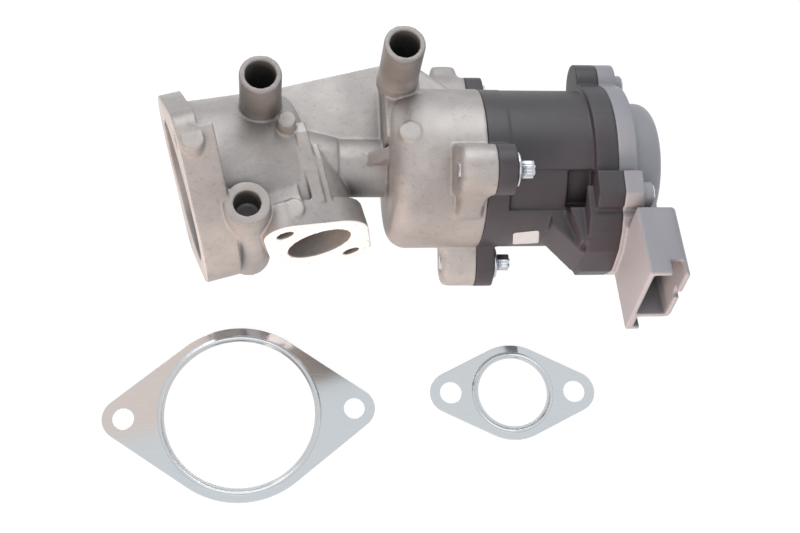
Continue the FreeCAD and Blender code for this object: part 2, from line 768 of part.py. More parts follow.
def stem_carrier():
    """The sliding ring that joins the cross pin, the guide rods and the return spring."""
    start = SPRING_END
    body = cylinder("carrier_outside", "carrier_radius", "carrier_thickness", start,
                    "axis_offset", 0)
    wings = block("carrier_wings", "carrier_thickness", "2 * %s" % ROD_CIRCLE, "4 * rod_radius + 2",
                  start, "axis_offset - %s" % ROD_CIRCLE, "-2 * rod_radius - 1")
    ends = [cylinder("carrier_end_" + word, "2 * rod_radius + 1", "carrier_thickness", start,
                     "axis_offset %s %s" % (sign, ROD_CIRCLE), 0)
            for word, sign in (("top", "+"), ("bottom", "-"))]
    holes = [cylinder("carrier_rod_hole_" + word, "rod_radius + running_gap",
                      "carrier_thickness + 2", start + " - 1",
                      "axis_offset %s %s" % (sign, ROD_CIRCLE), 0)
             for word, sign in (("top", "+"), ("bottom", "-"))]
    bore = cylinder("carrier_bore", "carrier_bore_radius", "carrier_thickness + 2",
                    start + " - 1", "axis_offset", 0)
    pin_hole = cylinder("carrier_pin_hole", "pin_radius", "2 * carrier_radius + 2", "pin_x",
                        "axis_offset", "-carrier_radius - 1", "z")
    return cut("stem_carrier", fuse("carrier_blank", [body, wings] + ends),
               holes + [bore, pin_hole])


def guide_rods():
    """Two rods, fixed in the actuator's front wall, that keep the stem from turning."""
    return compound("guide_rods", [
        cylinder("guide_rod_" + word, "rod_radius", "chamber_end + 4 - rod_start", "rod_start",
                 "axis_offset %s %s" % (sign, ROD_CIRCLE), 0)
        for word, sign in (("top", "+"), ("bottom", "-"))])


def cam_barrel():
    """The barrel whose two helical slots turn the rotor's rotation into valve lift."""
    outside = turned("cam_blank", [
        ("cam_start", "cam_bore_radius"), ("%s - cam_hub" % BARREL_END, "cam_bore_radius"),
        ("%s - cam_hub" % BARREL_END, "shaft_radius"), (BARREL_END, "shaft_radius"),
        (BARREL_END, "cam_radius"), ("cam_start", "cam_radius")])
    document.recompute()
    slots = document.addObject("Part::Feature", "cam_slots")
    slots.Shape = slot_shapes()
    slots.Placement = Placement(Vector(0, size("axis_offset"), 0), Rotation())
    return cut("cam_barrel", outside, [slots])


def slot_shapes():
    """Two helical slots, half a turn apart, each ending in the round of its roller."""
    middle = (size("cam_radius") + size("cam_bore_radius")) / 2
    depth = size("cam_radius") - size("cam_bore_radius") + 2
    half = size("roller_radius") + 0.3
    lead = size("stroke") * 360 / size("turn")
    helix = Part.makeHelix(lead, size("stroke"), middle)
    line = helix.Edges[0]
    start = line.valueAt(line.FirstParameter)
    tangent = line.tangentAt(line.FirstParameter)
    radial = Vector(start.x, start.y, 0).normalize()
    side = tangent.cross(radial).normalize()
    corners = [start + radial * (a * depth / 2) + side * (b * half)
               for a, b in ((-1, -1), (1, -1), (1, 1), (-1, 1), (-1, -1))]
    sweep = Part.Wire(helix.Edges).makePipeShell([Part.makePolygon(corners)], True, True)
    ends = []
    for parameter in (line.FirstParameter, line.LastParameter):
        point = line.valueAt(parameter)
        outward = Vector(point.x, point.y, 0).normalize()
        ends.append(Part.makeCylinder(half, depth, point - outward * (depth / 2), outward))
    slot = sweep.fuse(ends)
    slot.rotate(Vector(), Vector(0, 0, 1), -size("turn"))
    slot.rotate(Vector(), Vector(0, 1, 0), 90)
    slot.rotate(Vector(), Vector(1, 0, 0), 180)
    slot.translate(Vector(size("pin_x") - size("stroke"), 0, 0))
    other = slot.copy()
    other.rotate(Vector(), Vector(1, 0, 0), 180)
    return Part.makeCompound([slot, other])


def rotor_shaft():
    """The shaft that carries the cam barrel, the rotor and the sensor magnet."""
    return turned("rotor_shaft", [
        ("%s - cam_hub + 0.3" % BARREL_END, 0),
        ("%s - cam_hub + 0.3" % BARREL_END, "shaft_radius"),
        ("shaft_end - 0.6", "shaft_radius"), ("shaft_end", "shaft_radius - 0.6"),
        ("shaft_end", 0)])


FRONT_BEARING = "(chamber_end + 2)"


def bearing(name, start):
    """A small sealed ball bearing, as one solid with its seals set back."""
    end = "%s + bearing_width" % start
    return turned(name, [
        (start, "shaft_radius"), (start, "shaft_radius + 1.8"),
        (start + " + 0.5", "shaft_radius + 1.8"), (start + " + 0.5", "bearing_radius - 1.8"),
        (start, "bearing_radius - 1.8"), (start, "bearing_radius"), (end, "bearing_radius"),
        (end, "bearing_radius - 1.8"), (end + " - 0.5", "bearing_radius - 1.8"),
        (end + " - 0.5", "shaft_radius + 1.8"), (end, "shaft_radius + 1.8"),
        (end, "shaft_radius")])


def rotor_core():
    """The steel core of the rotor."""
    return ring("rotor_core", "stator_start", "stator_length", "shaft_radius",
                "rotor_core_radius")


def rotor_magnets():
    """Eight arched magnets round the rotor core."""
    count = 8
    full = ring("magnet_ring", "stator_start + 0.5", "stator_length - 1", "rotor_core_radius",
                "rotor_core_radius + magnet_thickness")
    reach = "rotor_core_radius + magnet_thickness + 1"
    gaps = []
    for number in range(count // 2):
        gap = block("magnet_gap_%d" % number, "stator_length + 2", "2 * (%s)" % reach, 1.2,
                    "stator_start - 1", "-(%s)" % reach, -0.6)
        holder = fuse_one("magnet_gap_turned_%d" % number, gap)
        gaps.append(about_axis(holder, 180.0 * number / (count // 2)))
    return cut("rotor_magnets", full, gaps)


def fuse_one(name, item):
    """A holder that lets one drawn piece be turned as a whole."""
    holder = document.addObject("Part::Compound", name)
    holder.Links = [item]
    return holder


TEETH = 6
YOKE_BORE = "(actuator_radius - actuator_wall - seat_gap - yoke)"


def stator_core():
    """The laminated stator ring with its six teeth."""
    yoke = cylinder("stator_outside", "actuator_radius - actuator_wall - seat_gap",
                    "stator_length", "stator_start", 0, 0)
    hollow = cylinder("stator_hollow", YOKE_BORE, "stator_length + 2", "stator_start - 1", 0, 0)
    shell = cut("stator_yoke", yoke, [hollow])
    teeth = []
    for number in range(TEETH):
        shank = block("tooth_shank_%d" % number, "stator_length",
                      "actuator_radius - actuator_wall - yoke / 2 - stator_bore_radius", 5,
                      "stator_start", "stator_bore_radius", -2.5)
        shoe = block("tooth_shoe_%d" % number, "stator_length", 2, "0.7 * stator_bore_radius",
                     "stator_start", "stator_bore_radius - 1.2", "-0.35 * stator_bore_radius")
        tooth = fuse("tooth_%d" % number, [shank, shoe])
        tooth.Placement = Placement(Vector(), Rotation(Vector(1, 0, 0), 360.0 * number / TEETH))
        teeth.append(tooth)
    blank = fuse("stator_blank", [shell] + teeth)
    bore = cylinder("stator_bore", "stator_bore_radius", "stator_length + 2",
                    "stator_start - 1", 0, 0)
    return put(cut("stator_core", blank, [bore]), 0, "axis_offset", 0)


def stator_coils():
    """One wound coil on each stator tooth."""
    coils = []
    inner = "(stator_bore_radius + 1.6)"
    depth = "%s - 1.5 * free_gap - %s" % (YOKE_BORE, inner)
    for number in range(TEETH):
        outside = block("coil_outside_%d" % number, "stator_length + 4", depth, 9.6,
                        "stator_start - 2", inner, -4.8)
        hole = block("coil_hole_%d" % number, "stator_length + 0.4", 8, 5.4,
                     "stator_start - 0.2", "stator_bore_radius + 1", -2.7)
        coil = fuse_one("coil_turned_%d" % number, cut("coil_%d" % number, outside, [hole]))
        coils.append(about_axis(coil, 360.0 * number / TEETH))
    return compound("stator_coils", coils)


def end_plate():
    """The plate behind the motor that carries the rear bearing."""
    hub = "plate_start + plate_thickness + bearing_width - 1"
    return turned("motor_end_plate", [
        ("plate_start", "shaft_radius + 1.5"), ("plate_start + 1", "shaft_radius + 1.5"),
        ("plate_start + 1", "bearing_radius"), (hub, "bearing_radius"),
        (hub, "bearing_radius + 2"), ("plate_start + plate_thickness", "bearing_radius + 2"),
        ("plate_start + plate_thickness", "rear_bore_radius - seat_gap"),
        ("plate_start", "rear_bore_radius - seat_gap")])


def cover_points():
    """The height and depth of the four cover screws."""
    return [("axis_offset + %s_screw_y" % word, word + "_screw_z")
            for word in ("top", "front", "under", "back")]


def side_outline(name, start, length, deep):
    """The outline shared by the actuator's flange and the end cover's rim."""
    disc = cylinder(name + "_disc", "flange_radius", length, start, "axis_offset", 0)
    points = cover_points()
    lugs = [cylinder(name + "_top_lug", "lug_radius", length, start, *points[0]),
            cylinder(name + "_under_lug", "lug_radius - 1.5", length, start, *points[2]),
            cylinder(name + "_back_lug", "lug_radius - 1.5", length, start, *points[3])]
    front = prism(name + "_front_lug", [
        ("axis_offset - 17.3", "front_screw_z - 17.5"), ("axis_offset - 17.3", "front_screw_z + 6.5"),
        ("axis_offset - 26.9", "front_screw_z + 6.5"), ("axis_offset - 30.8", "front_screw_z + 2.6"),
        ("axis_offset - 30.8", "front_screw_z - 17.5")], length + deep[0], start + deep[1], "YZ")
    outline = [("axis_offset - lobe_reach + %s" % inward, height) for inward, height in (
        (7.7, -8), (1.7, -2), (0, 7), (4, 19), (9, 26), (14, 30))]
    outline = [("axis_offset - 20", -8)] + outline + [("axis_offset - 20", 30)]
    lobe = prism(name + "_lobe", outline, length + deep[2], start + deep[3], "YZ")
    return [disc, front, lobe] + lugs


def front_recess(name, start, end, radius):
    """A band of the round wall, set back between the front ear and the plug side."""
    outside = "actuator_radius + 4"
    band = turned(name, [(start, radius), (end, radius), (end, outside), (start, outside)],
                  size("recess_span"))
    return about_axis(band, size("recess_angle"))


def actuator_housing():
    """The moulded housing of the motor, with its locating rim, ears and rear flange."""
    rim = cylinder("rim_outside", "chamber_radius - chamber_wall - seat_gap", "rim_height + 1",
                   "chamber_end - rim_height", "axis_offset", 0)
    base = cylinder("actuator_base", "actuator_radius + 0.2", 9, "chamber_end", "axis_offset", 0)
    shell = cylinder("actuator_shell", "actuator_radius", "flange_end - chamber_end - 1",
                     "chamber_end", "axis_offset", 0)
    ears = [ear("actuator_" + which, which, "chamber_end", "cover_ear_length",
                "actuator_radius - 3") for which in EARS]
    slope = prism("lobe_slope", [
        ("lobe_start - 12", "axis_offset - actuator_radius + 4"),
        ("lobe_start - 12", "axis_offset - actuator_radius + 1"),
        ("lobe_start - 1", "axis_offset - lobe_reach + 4.5"),
        ("flange_start", "axis_offset - lobe_reach + 4.5"),
        ("flange_start", "axis_offset - 20")], 21, -4, "XY")
    gusset = prism("lobe_gusset", [
        ("lobe_start - 7.5", "axis_offset - 22"), ("lobe_start + 3", "axis_offset - 20"),
        ("lobe_start + 3", "axis_offset - lobe_reach + 7.7"),
        ("lobe_start - 2", "axis_offset - lobe_reach + 6.7")], 14, 10, "XY")
    flange = side_outline("rear_flange", "flange_start", "flange_end - flange_start",
                          (" + (flange_start - lug_start)", " - (flange_start - lug_start)",
                           " + (flange_start - lobe_start)", " - (flange_start - lobe_start)"))
    blank = fuse("actuator_blank", [rim, base, shell, slope, gusset] + ears + flange)
    cavities = [
        cylinder("rim_hollow", "chamber_radius - chamber_wall - seat_gap - rim_wall",
                 "rim_height + 1", "chamber_end - rim_height - 1", "axis_offset", 0),
        cylinder("front_shaft_hole", "shaft_radius + 3", "front_wall + 2", "chamber_end - 1",
                 "axis_offset", 0),
        cylinder("front_bearing_seat", "bearing_radius", "front_wall",
                 FRONT_BEARING, "axis_offset", 0),
        cylinder("stator_room", "actuator_radius - actuator_wall",
                 "stator_start + stator_length + 0.5 - chamber_end - front_wall",
                 "chamber_end + front_wall", "axis_offset", 0),
        cylinder("rear_room", "rear_bore_radius", "flange_end - stator_start + 5",
                 "stator_start + 5", "axis_offset", 0),
        front_recess("front_recess", "chamber_end + 9", "stator_start + stator_length + 1.2",
                     "actuator_radius - recess_depth"),
        front_recess("deep_recess", "stator_start + stator_length + 1", "flange_start",
                     "deep_recess_radius"),
    ]
    cavities += at_points("actuator_ear_hole", ear_points(), "bolt_radius + 2 + seat_gap",
                          "cover_ear_length + 2", "chamber_end - 1")
    cavities += [cylinder("rod_socket_" + word, "rod_radius", 5, "chamber_end - 1",
                          "axis_offset %s %s" % (sign, ROD_CIRCLE), 0)
                 for word, sign in (("top", "+"), ("bottom", "-"))]
    cavities += at_points("cover_screw_socket", cover_points(), "screw_radius",
                          "screw_length", "flange_end + cover_rim - screw_length")
    groove = ring("o_ring_groove", "chamber_end - 3.2", "2.4",
                  "chamber_radius - chamber_wall - 2.2", "chamber_radius")
    return cut("actuator_housing", blank, cavities + [groove])


def housing_o_ring():
    """The seal between the casting and the actuator's locating rim."""
    seal = document.addObject("Part::Torus", "housing_o_ring")
    tie(seal, Radius1="chamber_radius - chamber_wall - 1.15", Radius2=1.02)
    seal.Placement = Placement(Vector(), TURNS["x"])
    return put(seal, "chamber_end - 2", "axis_offset", 0)


def compression_sleeves():
    """Steel sleeves in the three ears, which take the bolts' clamping force."""
    points = ear_points()
    outer = at_points("sleeve_outside", points, "bolt_radius + 2", "cover_ear_length + 0.5",
                      "chamber_end")
    inner = at_points("sleeve_bore", points, "bolt_hole_radius", "cover_ear_length + 3",
                      "chamber_end - 1")
    return compound("compression_sleeves", [
        cut("sleeve_%d" % n, a, [b]) for n, (a, b) in enumerate(zip(outer, inner), start=1)])


def lobed_head(name, radius, height, start, y, z, lobes=6):
    """An external star head: a post with a round groove between each pair of lobes."""
    post = cylinder(name + "_post", radius, height, start, y, z)
    grooves = []
    for number in range(lobes):
        turn = math.radians(360 / lobes * number)
        grooves.append(cylinder("%s_groove_%d" % (name, number), "%s / 4" % radius,
                                "%s + 2" % height, start + " - 0.01",
                                "%s + %s * 1.08 * %.6f" % (y, radius, math.cos(turn)),
                                "%s + %s * 1.08 * %.6f" % (z, radius, math.sin(turn))))
    return cut(name, post, grooves)


def actuator_bolts():
    """Three bolts with captive flanges and external star heads."""
    bolts = []
    under = "(chamber_end + cover_ear_length + 0.5)"
    for number, (y, z) in enumerate(ear_points(), start=1):
        name = "bolt_%d" % number
        shank = cylinder(name + "_shank", "bolt_radius", "bolt_length + 1",
                         under + " - bolt_length", y, z)
        flange = cylinder(name + "_flange", "bolt_flange_radius", "bolt_flange_thickness",
                          under, y, z)
        head = lobed_head(name + "_head", "bolt_head_radius", "bolt_head_height",
                          under + " + bolt_flange_thickness", y, z)
        bolts.append(fuse(name, [shank, flange, head]))
    return compound("actuator_bolts", bolts)


def shroud_frame(item, along=0, inward=0, down=0):
    """Place a piece of the connector in its tilted frame, from the mouth's upper corner."""
    tilt = size("shroud_tilt")
    turn = Rotation(Vector(1, 0, 0), -tilt)
    item.Placement = Placement(Vector(), turn)
    shift = "(%s) * cos(shroud_tilt) - (%s) * sin(shroud_tilt)"
    return put(item, "flange_end + 2 + (%s)" % along,
               "shroud_corner_y + (%s)" % (shift % (inward, down)),
               "shroud_corner_z - (%s) * sin(shroud_tilt) - (%s) * cos(shroud_tilt)"
               % (inward, down))


def connector_shroud():
    """The outside of the connector: a rectangular tube with a keyed skirt under it."""
    tube = block("shroud_tube", "shroud_width", "shroud_length", "shroud_height - 9")
    tube = rounded("shroud_tube_rounded", tube, 2.5,
                   lambda e: abs(e.BoundBox.YLength) > 1 and e.BoundBox.XMin > 1)
    tube = fuse_one("shroud_tube_placed", tube)
    shroud_frame(tube, 0, 0, "shroud_height - 9")
    skirt = block("shroud_skirt", 3, "shroud_length", "shroud_height - 2")
    shroud_frame(skirt, 0, 0, "shroud_height")
    foot = block("shroud_foot", 5.6, "shroud_length", 1.6)
    shroud_frame(foot, 0, 0, "shroud_height")
    return [tube, skirt, foot]


def end_cover():
    """The grey cover with its dome, screw posts and connector shroud."""
    rim = side_outline("cover_rim_part", "flange_end", "cover_rim", ("", "", "", ""))
    dome = cylinder("dome", "dome_radius", "dome_end - flange_end", "flange_end",
                    "axis_offset", 0)
    dome = rounded("dome_rounded", dome, "dome_rounding",
                   lambda e: round_edge(e, "dome_radius", "dome_end"))
    points = cover_points()
    posts = at_points("screw_post", points, "screw_head_radius + 0.9",
                      "cover_rim + screw_post", "flange_end")
    neck = block("connector_neck", "shroud_width", 30, 34, "flange_end + 2", -32, -14)
    blank = fuse("cover_blank", rim + [dome, neck] + posts + connector_shroud())
    cavities = [
        cylinder("dome_hollow", "dome_radius - cover_wall", "dome_end - flange_end - cover_wall",
                 "flange_end", "axis_offset", 0),
        shroud_frame(block("shroud_mouth", "shroud_width - 2 * shroud_wall", "shroud_length - 7",
                           "shroud_height - 9 - 2 * shroud_wall"),
                     "shroud_wall", -1, "shroud_height - 9 - shroud_wall"),
        shroud_frame(block("mouth_notch", "mouth_notch_width", "mouth_notch_depth + 1",
                           "shroud_wall + 1.5"),
                     "shroud_width - mouth_notch_width - shroud_wall", -1, "shroud_wall + 0.5"),
        shroud_frame(block("side_notch", "shroud_wall + 1.5", "side_notch_depth + 1",
                           "side_notch_width"),
                     "shroud_width - shroud_wall - 0.5", -1, "first_blade + 2.6 * side_notch_width"),
    ]
    cavities += at_points("cover_screw_hole", points, "screw_radius + 0.3",
                          "cover_rim + screw_post + 2", "flange_end - 1")
    cavities += at_points("cover_screw_seat", points, "screw_head_radius + 0.2", 3,
                          "flange_end + cover_rim + screw_post - 2")
    cavities += pin_shapes("pin_slot", 0.05)
    return cut("end_cover", blank, cavities)


PINS = 5


def pin_shapes(name, gap):
    """The five flat blades of the connector, or the slots that hold them."""
    blades = []
    for number in range(PINS):
        blade = block("%s_%d" % (name, number), "blade_thickness + %s" % (2 * gap),
                      "blade_length + %s" % (20 * gap), "blade_width + %s" % (2 * gap))
        down = "first_blade + %d * blade_pitch + blade_width + %s" % (number, gap)
        blades.append(shroud_frame(blade, "shroud_width / 2 - blade_thickness / 2 - %s" % gap,
                                   "shroud_length - blade_length - 2 - %s" % (6 * gap), down))
    return blades


def cover_screws():
    """Four screws that hold the end cover."""
    screws = []
    for number, (y, z) in enumerate(cover_points(), start=1):
        top = "(flange_end + cover_rim + screw_post - 2)"
        name = "cover_screw_%d" % number
        shank = cylinder(name + "_shank", "screw_radius", "screw_length", top + " - screw_length + 0.5",
                         y, z)
        head = cylinder(name + "_head", "screw_head_radius", "screw_head_height", top, y, z)
        socket = lobed_head(name + "_socket", "screw_radius", "screw_head_height",
                            top + " + 1", y, z)
        screws.append(cut(name, fuse(name + "_blank", [shank, head]), [socket]))
    return compound("cover_screws", screws)


def sensor_parts():
    """The magnet on the shaft's end and the board that reads its angle."""
    magnet = ring("sensor_magnet", "shaft_end - 2", "sensor_length + 2", "shaft_radius",
                  "shaft_radius + 3")
    board = cylinder("sensor_board", "dome_radius - cover_wall - running_gap", "board_thickness",
                     "dome_end - cover_wall - 3 - board_thickness", "axis_offset", 0)
    return magnet, board


def label_sticker():
    """The small bare sticker on the actuator's underside."""
    full = ring("label_ring", "chamber_end + 11.5", 11, "actuator_radius",
                "actuator_radius + 0.25")
    window = block("label_window", 20, 20, 9, "chamber_end + 8",
                   "axis_offset - actuator_radius - 5", 0)
    label = document.addObject("Part::Common", "label_sticker")
    label.Base = full
    label.Tool = window
    return label


def gasket(name):
    """A flat steel gasket with an embossed bead round its bore, laid on the floor."""
    spacing, middle, tip, bore, hole = [
        "%s_%s" % (name, word) for word in ("spacing", "middle", "tip", "bore", "hole")]
    plate = document.addObject("Part::Extrusion", name + "_plate")
    plate.Base = diamond_sketch(name + "_outline", spacing, middle, tip)
    plate.DirMode = "Normal"
    plate.Solid = True
    tie(plate, LengthFwd="gasket_thickness")
    bead = document.addObject("Part::Torus", name + "_bead")
    tie(bead, Radius1="%s + 2 * gasket_bead" % bore, Radius2="gasket_bead")
    put(bead, 0, 0, "gasket_thickness - 0.1")
    holes = [cylinder(name + "_bore", bore, 6, 0, 0, -3, "z")]
    for word, sign in (("left", "-"), ("right", "")):
        holes.append(cylinder("%s_%s_hole" % (name, word), hole, 6, "%s(%s) / 2" % (sign, spacing),
                              0, -3, "z"))
    under = block(name + "_under", 200, 200, 5, -100, -100, -5)
    blank = cut(name + "_trimmed", fuse(name + "_blank", [plate, bead]), [under])
    finished = cut(name, blank, holes)
    finished.Placement = Placement(Vector(), Rotation(Vector(0, 0, 1), size(name + "_turn")))
    return put(finished, name + "_x", name + "_y", "floor_level")


def build_nodes():
    """Every sub-part with the name of its node."""
    magnet, board = sensor_parts()
    return {
        "valve_housing": valve_housing(),
        "valve_seat_ring": valve_seat_ring(),
        "poppet_valve": stem_and_pin_holes(),
        "stem_guide_bush": stem_guide_bush(),
        "stem_seal": stem_seal(),
        "return_spring": return_spring(),
        "cross_pin": cross_pin(),
        "cam_rollers": rollers(),
        "stem_carrier": stem_carrier(),
        "guide_rods": guide_rods(),
        "cam_barrel": cam_barrel(),
        "rotor_shaft": rotor_shaft(),
        "front_bearing": bearing("front_bearing", FRONT_BEARING),
        "rear_bearing": bearing("rear_bearing", "(plate_start + 1)"),
        "rotor_core": rotor_core(),
        "rotor_magnets": rotor_magnets(),
        "stator_core": stator_core(),
        "stator_coils": stator_coils(),
        "motor_end_plate": end_plate(),
        "actuator_housing": actuator_housing(),
        "housing_o_ring": housing_o_ring(),
        "compression_sleeves": compression_sleeves(),
        "actuator_bolts": actuator_bolts(),
        "end_cover": end_cover(),
        "cover_screws": cover_screws(),
        "connector_pins": compound("connector_pins", pin_shapes("blade", 0)),
        "sensor_magnet": magnet,
        "sensor_board": board,
        "label_sticker": label_sticker(),
        "outlet_gasket": gasket("outlet_gasket"),
        "inlet_gasket": gasket("inlet_gasket"),
    }


def check_and_export(nodes):
    """Stop at any failed object, then write one file for each sub-part."""
    document.recompute()
    for item in document.Objects:
        if "Invalid" in item.State or "Error" in item.State:
            raise RuntimeError("failed: %s %s" % (item.Name, item.State))
    for name, item in nodes.items():
        item.Label = name
        shape = item.Shape
        if shape.isNull() or not shape.isValid() or not shape.Solids:
            raise RuntimeError("no sound solid: " + name)
    os.makedirs("parts", exist_ok=True)
    for name, item in nodes.items():
        item.Shape.exportStep("parts/%s.step" % name)
        box = item.Shape.BoundBox
        print("%-20s solids %d  volume %9.1f  x %.1f..%.1f  y %.1f..%.1f  z %.1f..%.1f" % (
            name, len(item.Shape.Solids), item.Shape.Volume, box.XMin, box.XMax,
            box.YMin, box.YMax, box.ZMin, box.ZMax))


write_sizes()
check_and_export(build_nodes())
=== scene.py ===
"""Looks of an electric exhaust gas recirculation valve with two loose steel gaskets."""

import json
import math

import bmesh
import bpy
from bpy.props import FloatProperty, FloatVectorProperty, IntProperty, PointerProperty
from mathutils import Matrix, Vector


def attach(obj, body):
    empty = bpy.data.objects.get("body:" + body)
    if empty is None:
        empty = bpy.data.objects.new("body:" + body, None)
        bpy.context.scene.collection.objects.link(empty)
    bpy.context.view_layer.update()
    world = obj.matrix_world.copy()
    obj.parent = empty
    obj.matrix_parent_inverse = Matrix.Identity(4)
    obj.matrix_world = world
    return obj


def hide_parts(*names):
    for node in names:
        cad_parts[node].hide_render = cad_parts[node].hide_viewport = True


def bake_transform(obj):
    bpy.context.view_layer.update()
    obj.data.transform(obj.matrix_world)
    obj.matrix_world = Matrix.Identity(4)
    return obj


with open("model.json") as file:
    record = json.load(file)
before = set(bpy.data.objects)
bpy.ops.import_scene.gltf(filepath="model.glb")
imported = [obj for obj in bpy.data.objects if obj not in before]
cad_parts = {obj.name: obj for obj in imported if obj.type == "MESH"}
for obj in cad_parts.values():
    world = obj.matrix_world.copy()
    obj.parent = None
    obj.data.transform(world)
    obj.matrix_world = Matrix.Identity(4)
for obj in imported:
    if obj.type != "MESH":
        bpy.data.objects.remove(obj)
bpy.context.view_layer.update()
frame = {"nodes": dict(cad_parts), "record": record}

bl_info = {
    "name": "Exhaust Gas Valve",
    "version": (1, 0, 0),
    "blender": (4, 5, 0),
    "location": "View3D > Sidebar > Valve",
    "description": "Adds the finishes, fine shapes and studio of an exhaust gas recirculation valve",
    "category": "Add Mesh",
}

# The valve axis, the turn of the two ports, and the middles of the two hose spigots
AXIS_Y = 0.0093
PORT_LEAN = math.radians(15)
SPIGOTS = ((0.0313, 0.0235), (0.0857, 0.0370))

# The radius round each spigot's middle, and the heights over which painted shade darkens its metal
SPIGOT_REACH = 0.0092
SPIGOT_SHADE_HEIGHTS = (0.032, 0.037)

# The duct's cone behind the outlet flange, and the cut round it that makes the flange thin
CONE_RADIUS = 0.03455
CONE_SLOPE = 0.0882
CUT_END = 0.0145
CUT_RADIUS = 0.06
CUT_TURN = math.radians(1.5)

# Where the ears stand free of the chamber: each a place and the length over which the smoothing fades
EAR_FOOT = (0.0325, 0.003)
EAR_ROOT = (0.096, 0.003)
EAR_JOINT = (0.1185, 0.0015)

# The two machined port faces, as distances along each port, and the inlet face's ends along the duct
OUTLET_FACE = -0.0004
INLET_FACE = 0.0365
INLET_ENDS = (0.026, 0.078)

# The mould's parting line on the motor housing, and where it starts
SEAM_Y = 0.0181
SEAM_HALF_WIDTH = 0.00016
SEAM_START = {"X": 0.1365, "Z": 0.02}

# Bolt: each pair is a height above its seat and a distance inside the flange or outside the head
FLANGE_OUTLINE = ((0, 0.0003), (0.0003, 0), (0.0009, 0), (0.0013, 0.0004))
FILLET_OUTLINE = ((0.0019, 0.0008), (0.0023, 0.0002))
SHANK_CHAMFER = 0.0006
HEAD_FOOT = 0.0017
HEAD_ROUNDING = 0.0005
HEAD_LOBES = 6

# The share of the triangles that the fine coils of the return spring keep
SPRING_KEPT = 0.2

# Studio lamps, all turned to one point of the valve
LAMP_AIM = Vector((0.08, 0, 0))
LAMPS = (
    {"name": "key_light", "place": (0.0, -0.5, 0.85), "side": 0.7, "power": 1.0, "glossy": True},
    {"name": "back_light", "place": (0.05, 0.8, 0.75), "side": 0.8, "power": 5.6, "glossy": True},
    {"name": "fill_light", "place": (0.75, -0.25, 0.55), "side": 0.8, "power": 1.2},
    {"name": "front_light", "place": (-0.35, -0.7, 0.10), "side": 0.6, "power": 16.5,
     "colour": (1.0, 0.75, 0.61)},
)

# Level sheets of the studio: half lengths, turn in degrees and place; the two cards glow only in
# reflections, as painted reflections
FLOOR_REACH = 3.0
WARM_REFLECTION_CARD = ((0.2, 0.06), 15.8, (-0.0863, 0.0792, 0.44))
COOL_REFLECTION_CARD = ((0.021, 0.021), 0, (0.168, -0.056, -0.038))

# The range in which most of a noise's values lie, and how open the bottom of a narrow recess and a free
# face are, for the painted shade in recesses
NOISE_RANGE = (0.3, 0.7)
OPEN_RANGE = (0.15, 0.75)

# How lathe marks stretch round the valve axis
LATHED = (3, 0.3, 0.3)

# Steps of a full turn, and how near two points are made one on carried and on turned shapes
ROUND_STEPS = 48
HEAD_STEPS = 72
MERGE_CARRIED = 0.00001
MERGE_TURNED = 0.000001


def length(name, description, default, **limits):
    """A property that holds a length."""
    return FloatProperty(name=name, description=description, default=default, unit='LENGTH', **limits)


def angle(name, description, default):
    """A property that holds an angle, whose default is given in degrees."""
    return FloatProperty(name=name, description=description, default=math.radians(default),
                         subtype='ANGLE')


def factor(name, description, default, least=0.0, most=1.0):
    """A property that holds a share."""
    return FloatProperty(name=name, description=description, default=default, min=least, max=most,
                         subtype='FACTOR')


def strength(name, description, default):
    """A property that holds a brightness."""
    return FloatProperty(name=name, description=description, default=default, min=0)


def count(name, description, default, least=0):
    """A property that holds a whole number."""
    return IntProperty(name=name, description=description, default=default, min=least)


def tone(name, description, default):
    """A property that holds a colour."""
    return FloatVectorProperty(name=name, description=description, default=default, size=3,
                               min=0, max=1, subtype='COLOR')


class ValveColours(bpy.types.PropertyGroup):
    skin_dark: tone("Casting, Dark", "Dark tone of the casting's clouds", (0.36, 0.342, 0.335))
    skin_light: tone("Casting, Light", "Light tone of the casting's clouds", (0.43, 0.41, 0.40))
    machined: tone("Machined Face", "Colour of the machined port faces", (0.68, 0.70, 0.72))
    black: tone("Motor Housing", "Colour of the motor housing's plastic", (0.031, 0.027, 0.034))
    grey: tone("End Cover", "Colour of the end cover's plastic", (0.285, 0.287, 0.318))
    zinc: tone("Bolts", "Colour of the plated bolts", (0.66, 0.68, 0.72))
    gasket_dark: tone("Gasket, Dark", "Dark tone of the gaskets' steel", (0.63, 0.66, 0.68))
    gasket_light: tone("Gasket, Light", "Light tone of the gaskets' steel", (0.66, 0.69, 0.71))
    paper_dark: tone("Sticker, Dark", "Dark tone of the sticker's paper", (0.35, 0.38, 0.41))
    paper_light: tone("Sticker, Light", "Light tone of the sticker's paper", (0.39, 0.42, 0.45))


class ValveCasting(bpy.types.PropertyGroup):
    voxel: length("Casting Grain", "Size of the cells that soften the casting's edges",
                  0.0005, min=0.0004)
    passes: count("Casting Smoothing", "How often the casting's surface is relaxed", 6)
    ear_passes: count("Ear Smoothing", "How often the surface of the ears is relaxed", 220)
    kept: factor("Kept Triangles", "Share of the fine triangles that is kept", 0.25, 0.05)
    thin_start: length("Thin Flange", "Thickness of the outlet flange on its thin side", 0.0088)
    thin_reach: angle("Thin Side", "Angle over which the outlet flange is thin", 125)


class ValveMouldings(bpy.types.PropertyGroup):
    voxel: length("Moulding Grain", "Size of the cells that soften the plastic's edges",
                  0.00045, min=0.0004)
    passes: count("Moulding Smoothing", "How often the plastic's surface is relaxed", 4)
    kept: factor("Kept Triangles", "Share of the fine triangles that is kept", 0.2, 0.05)


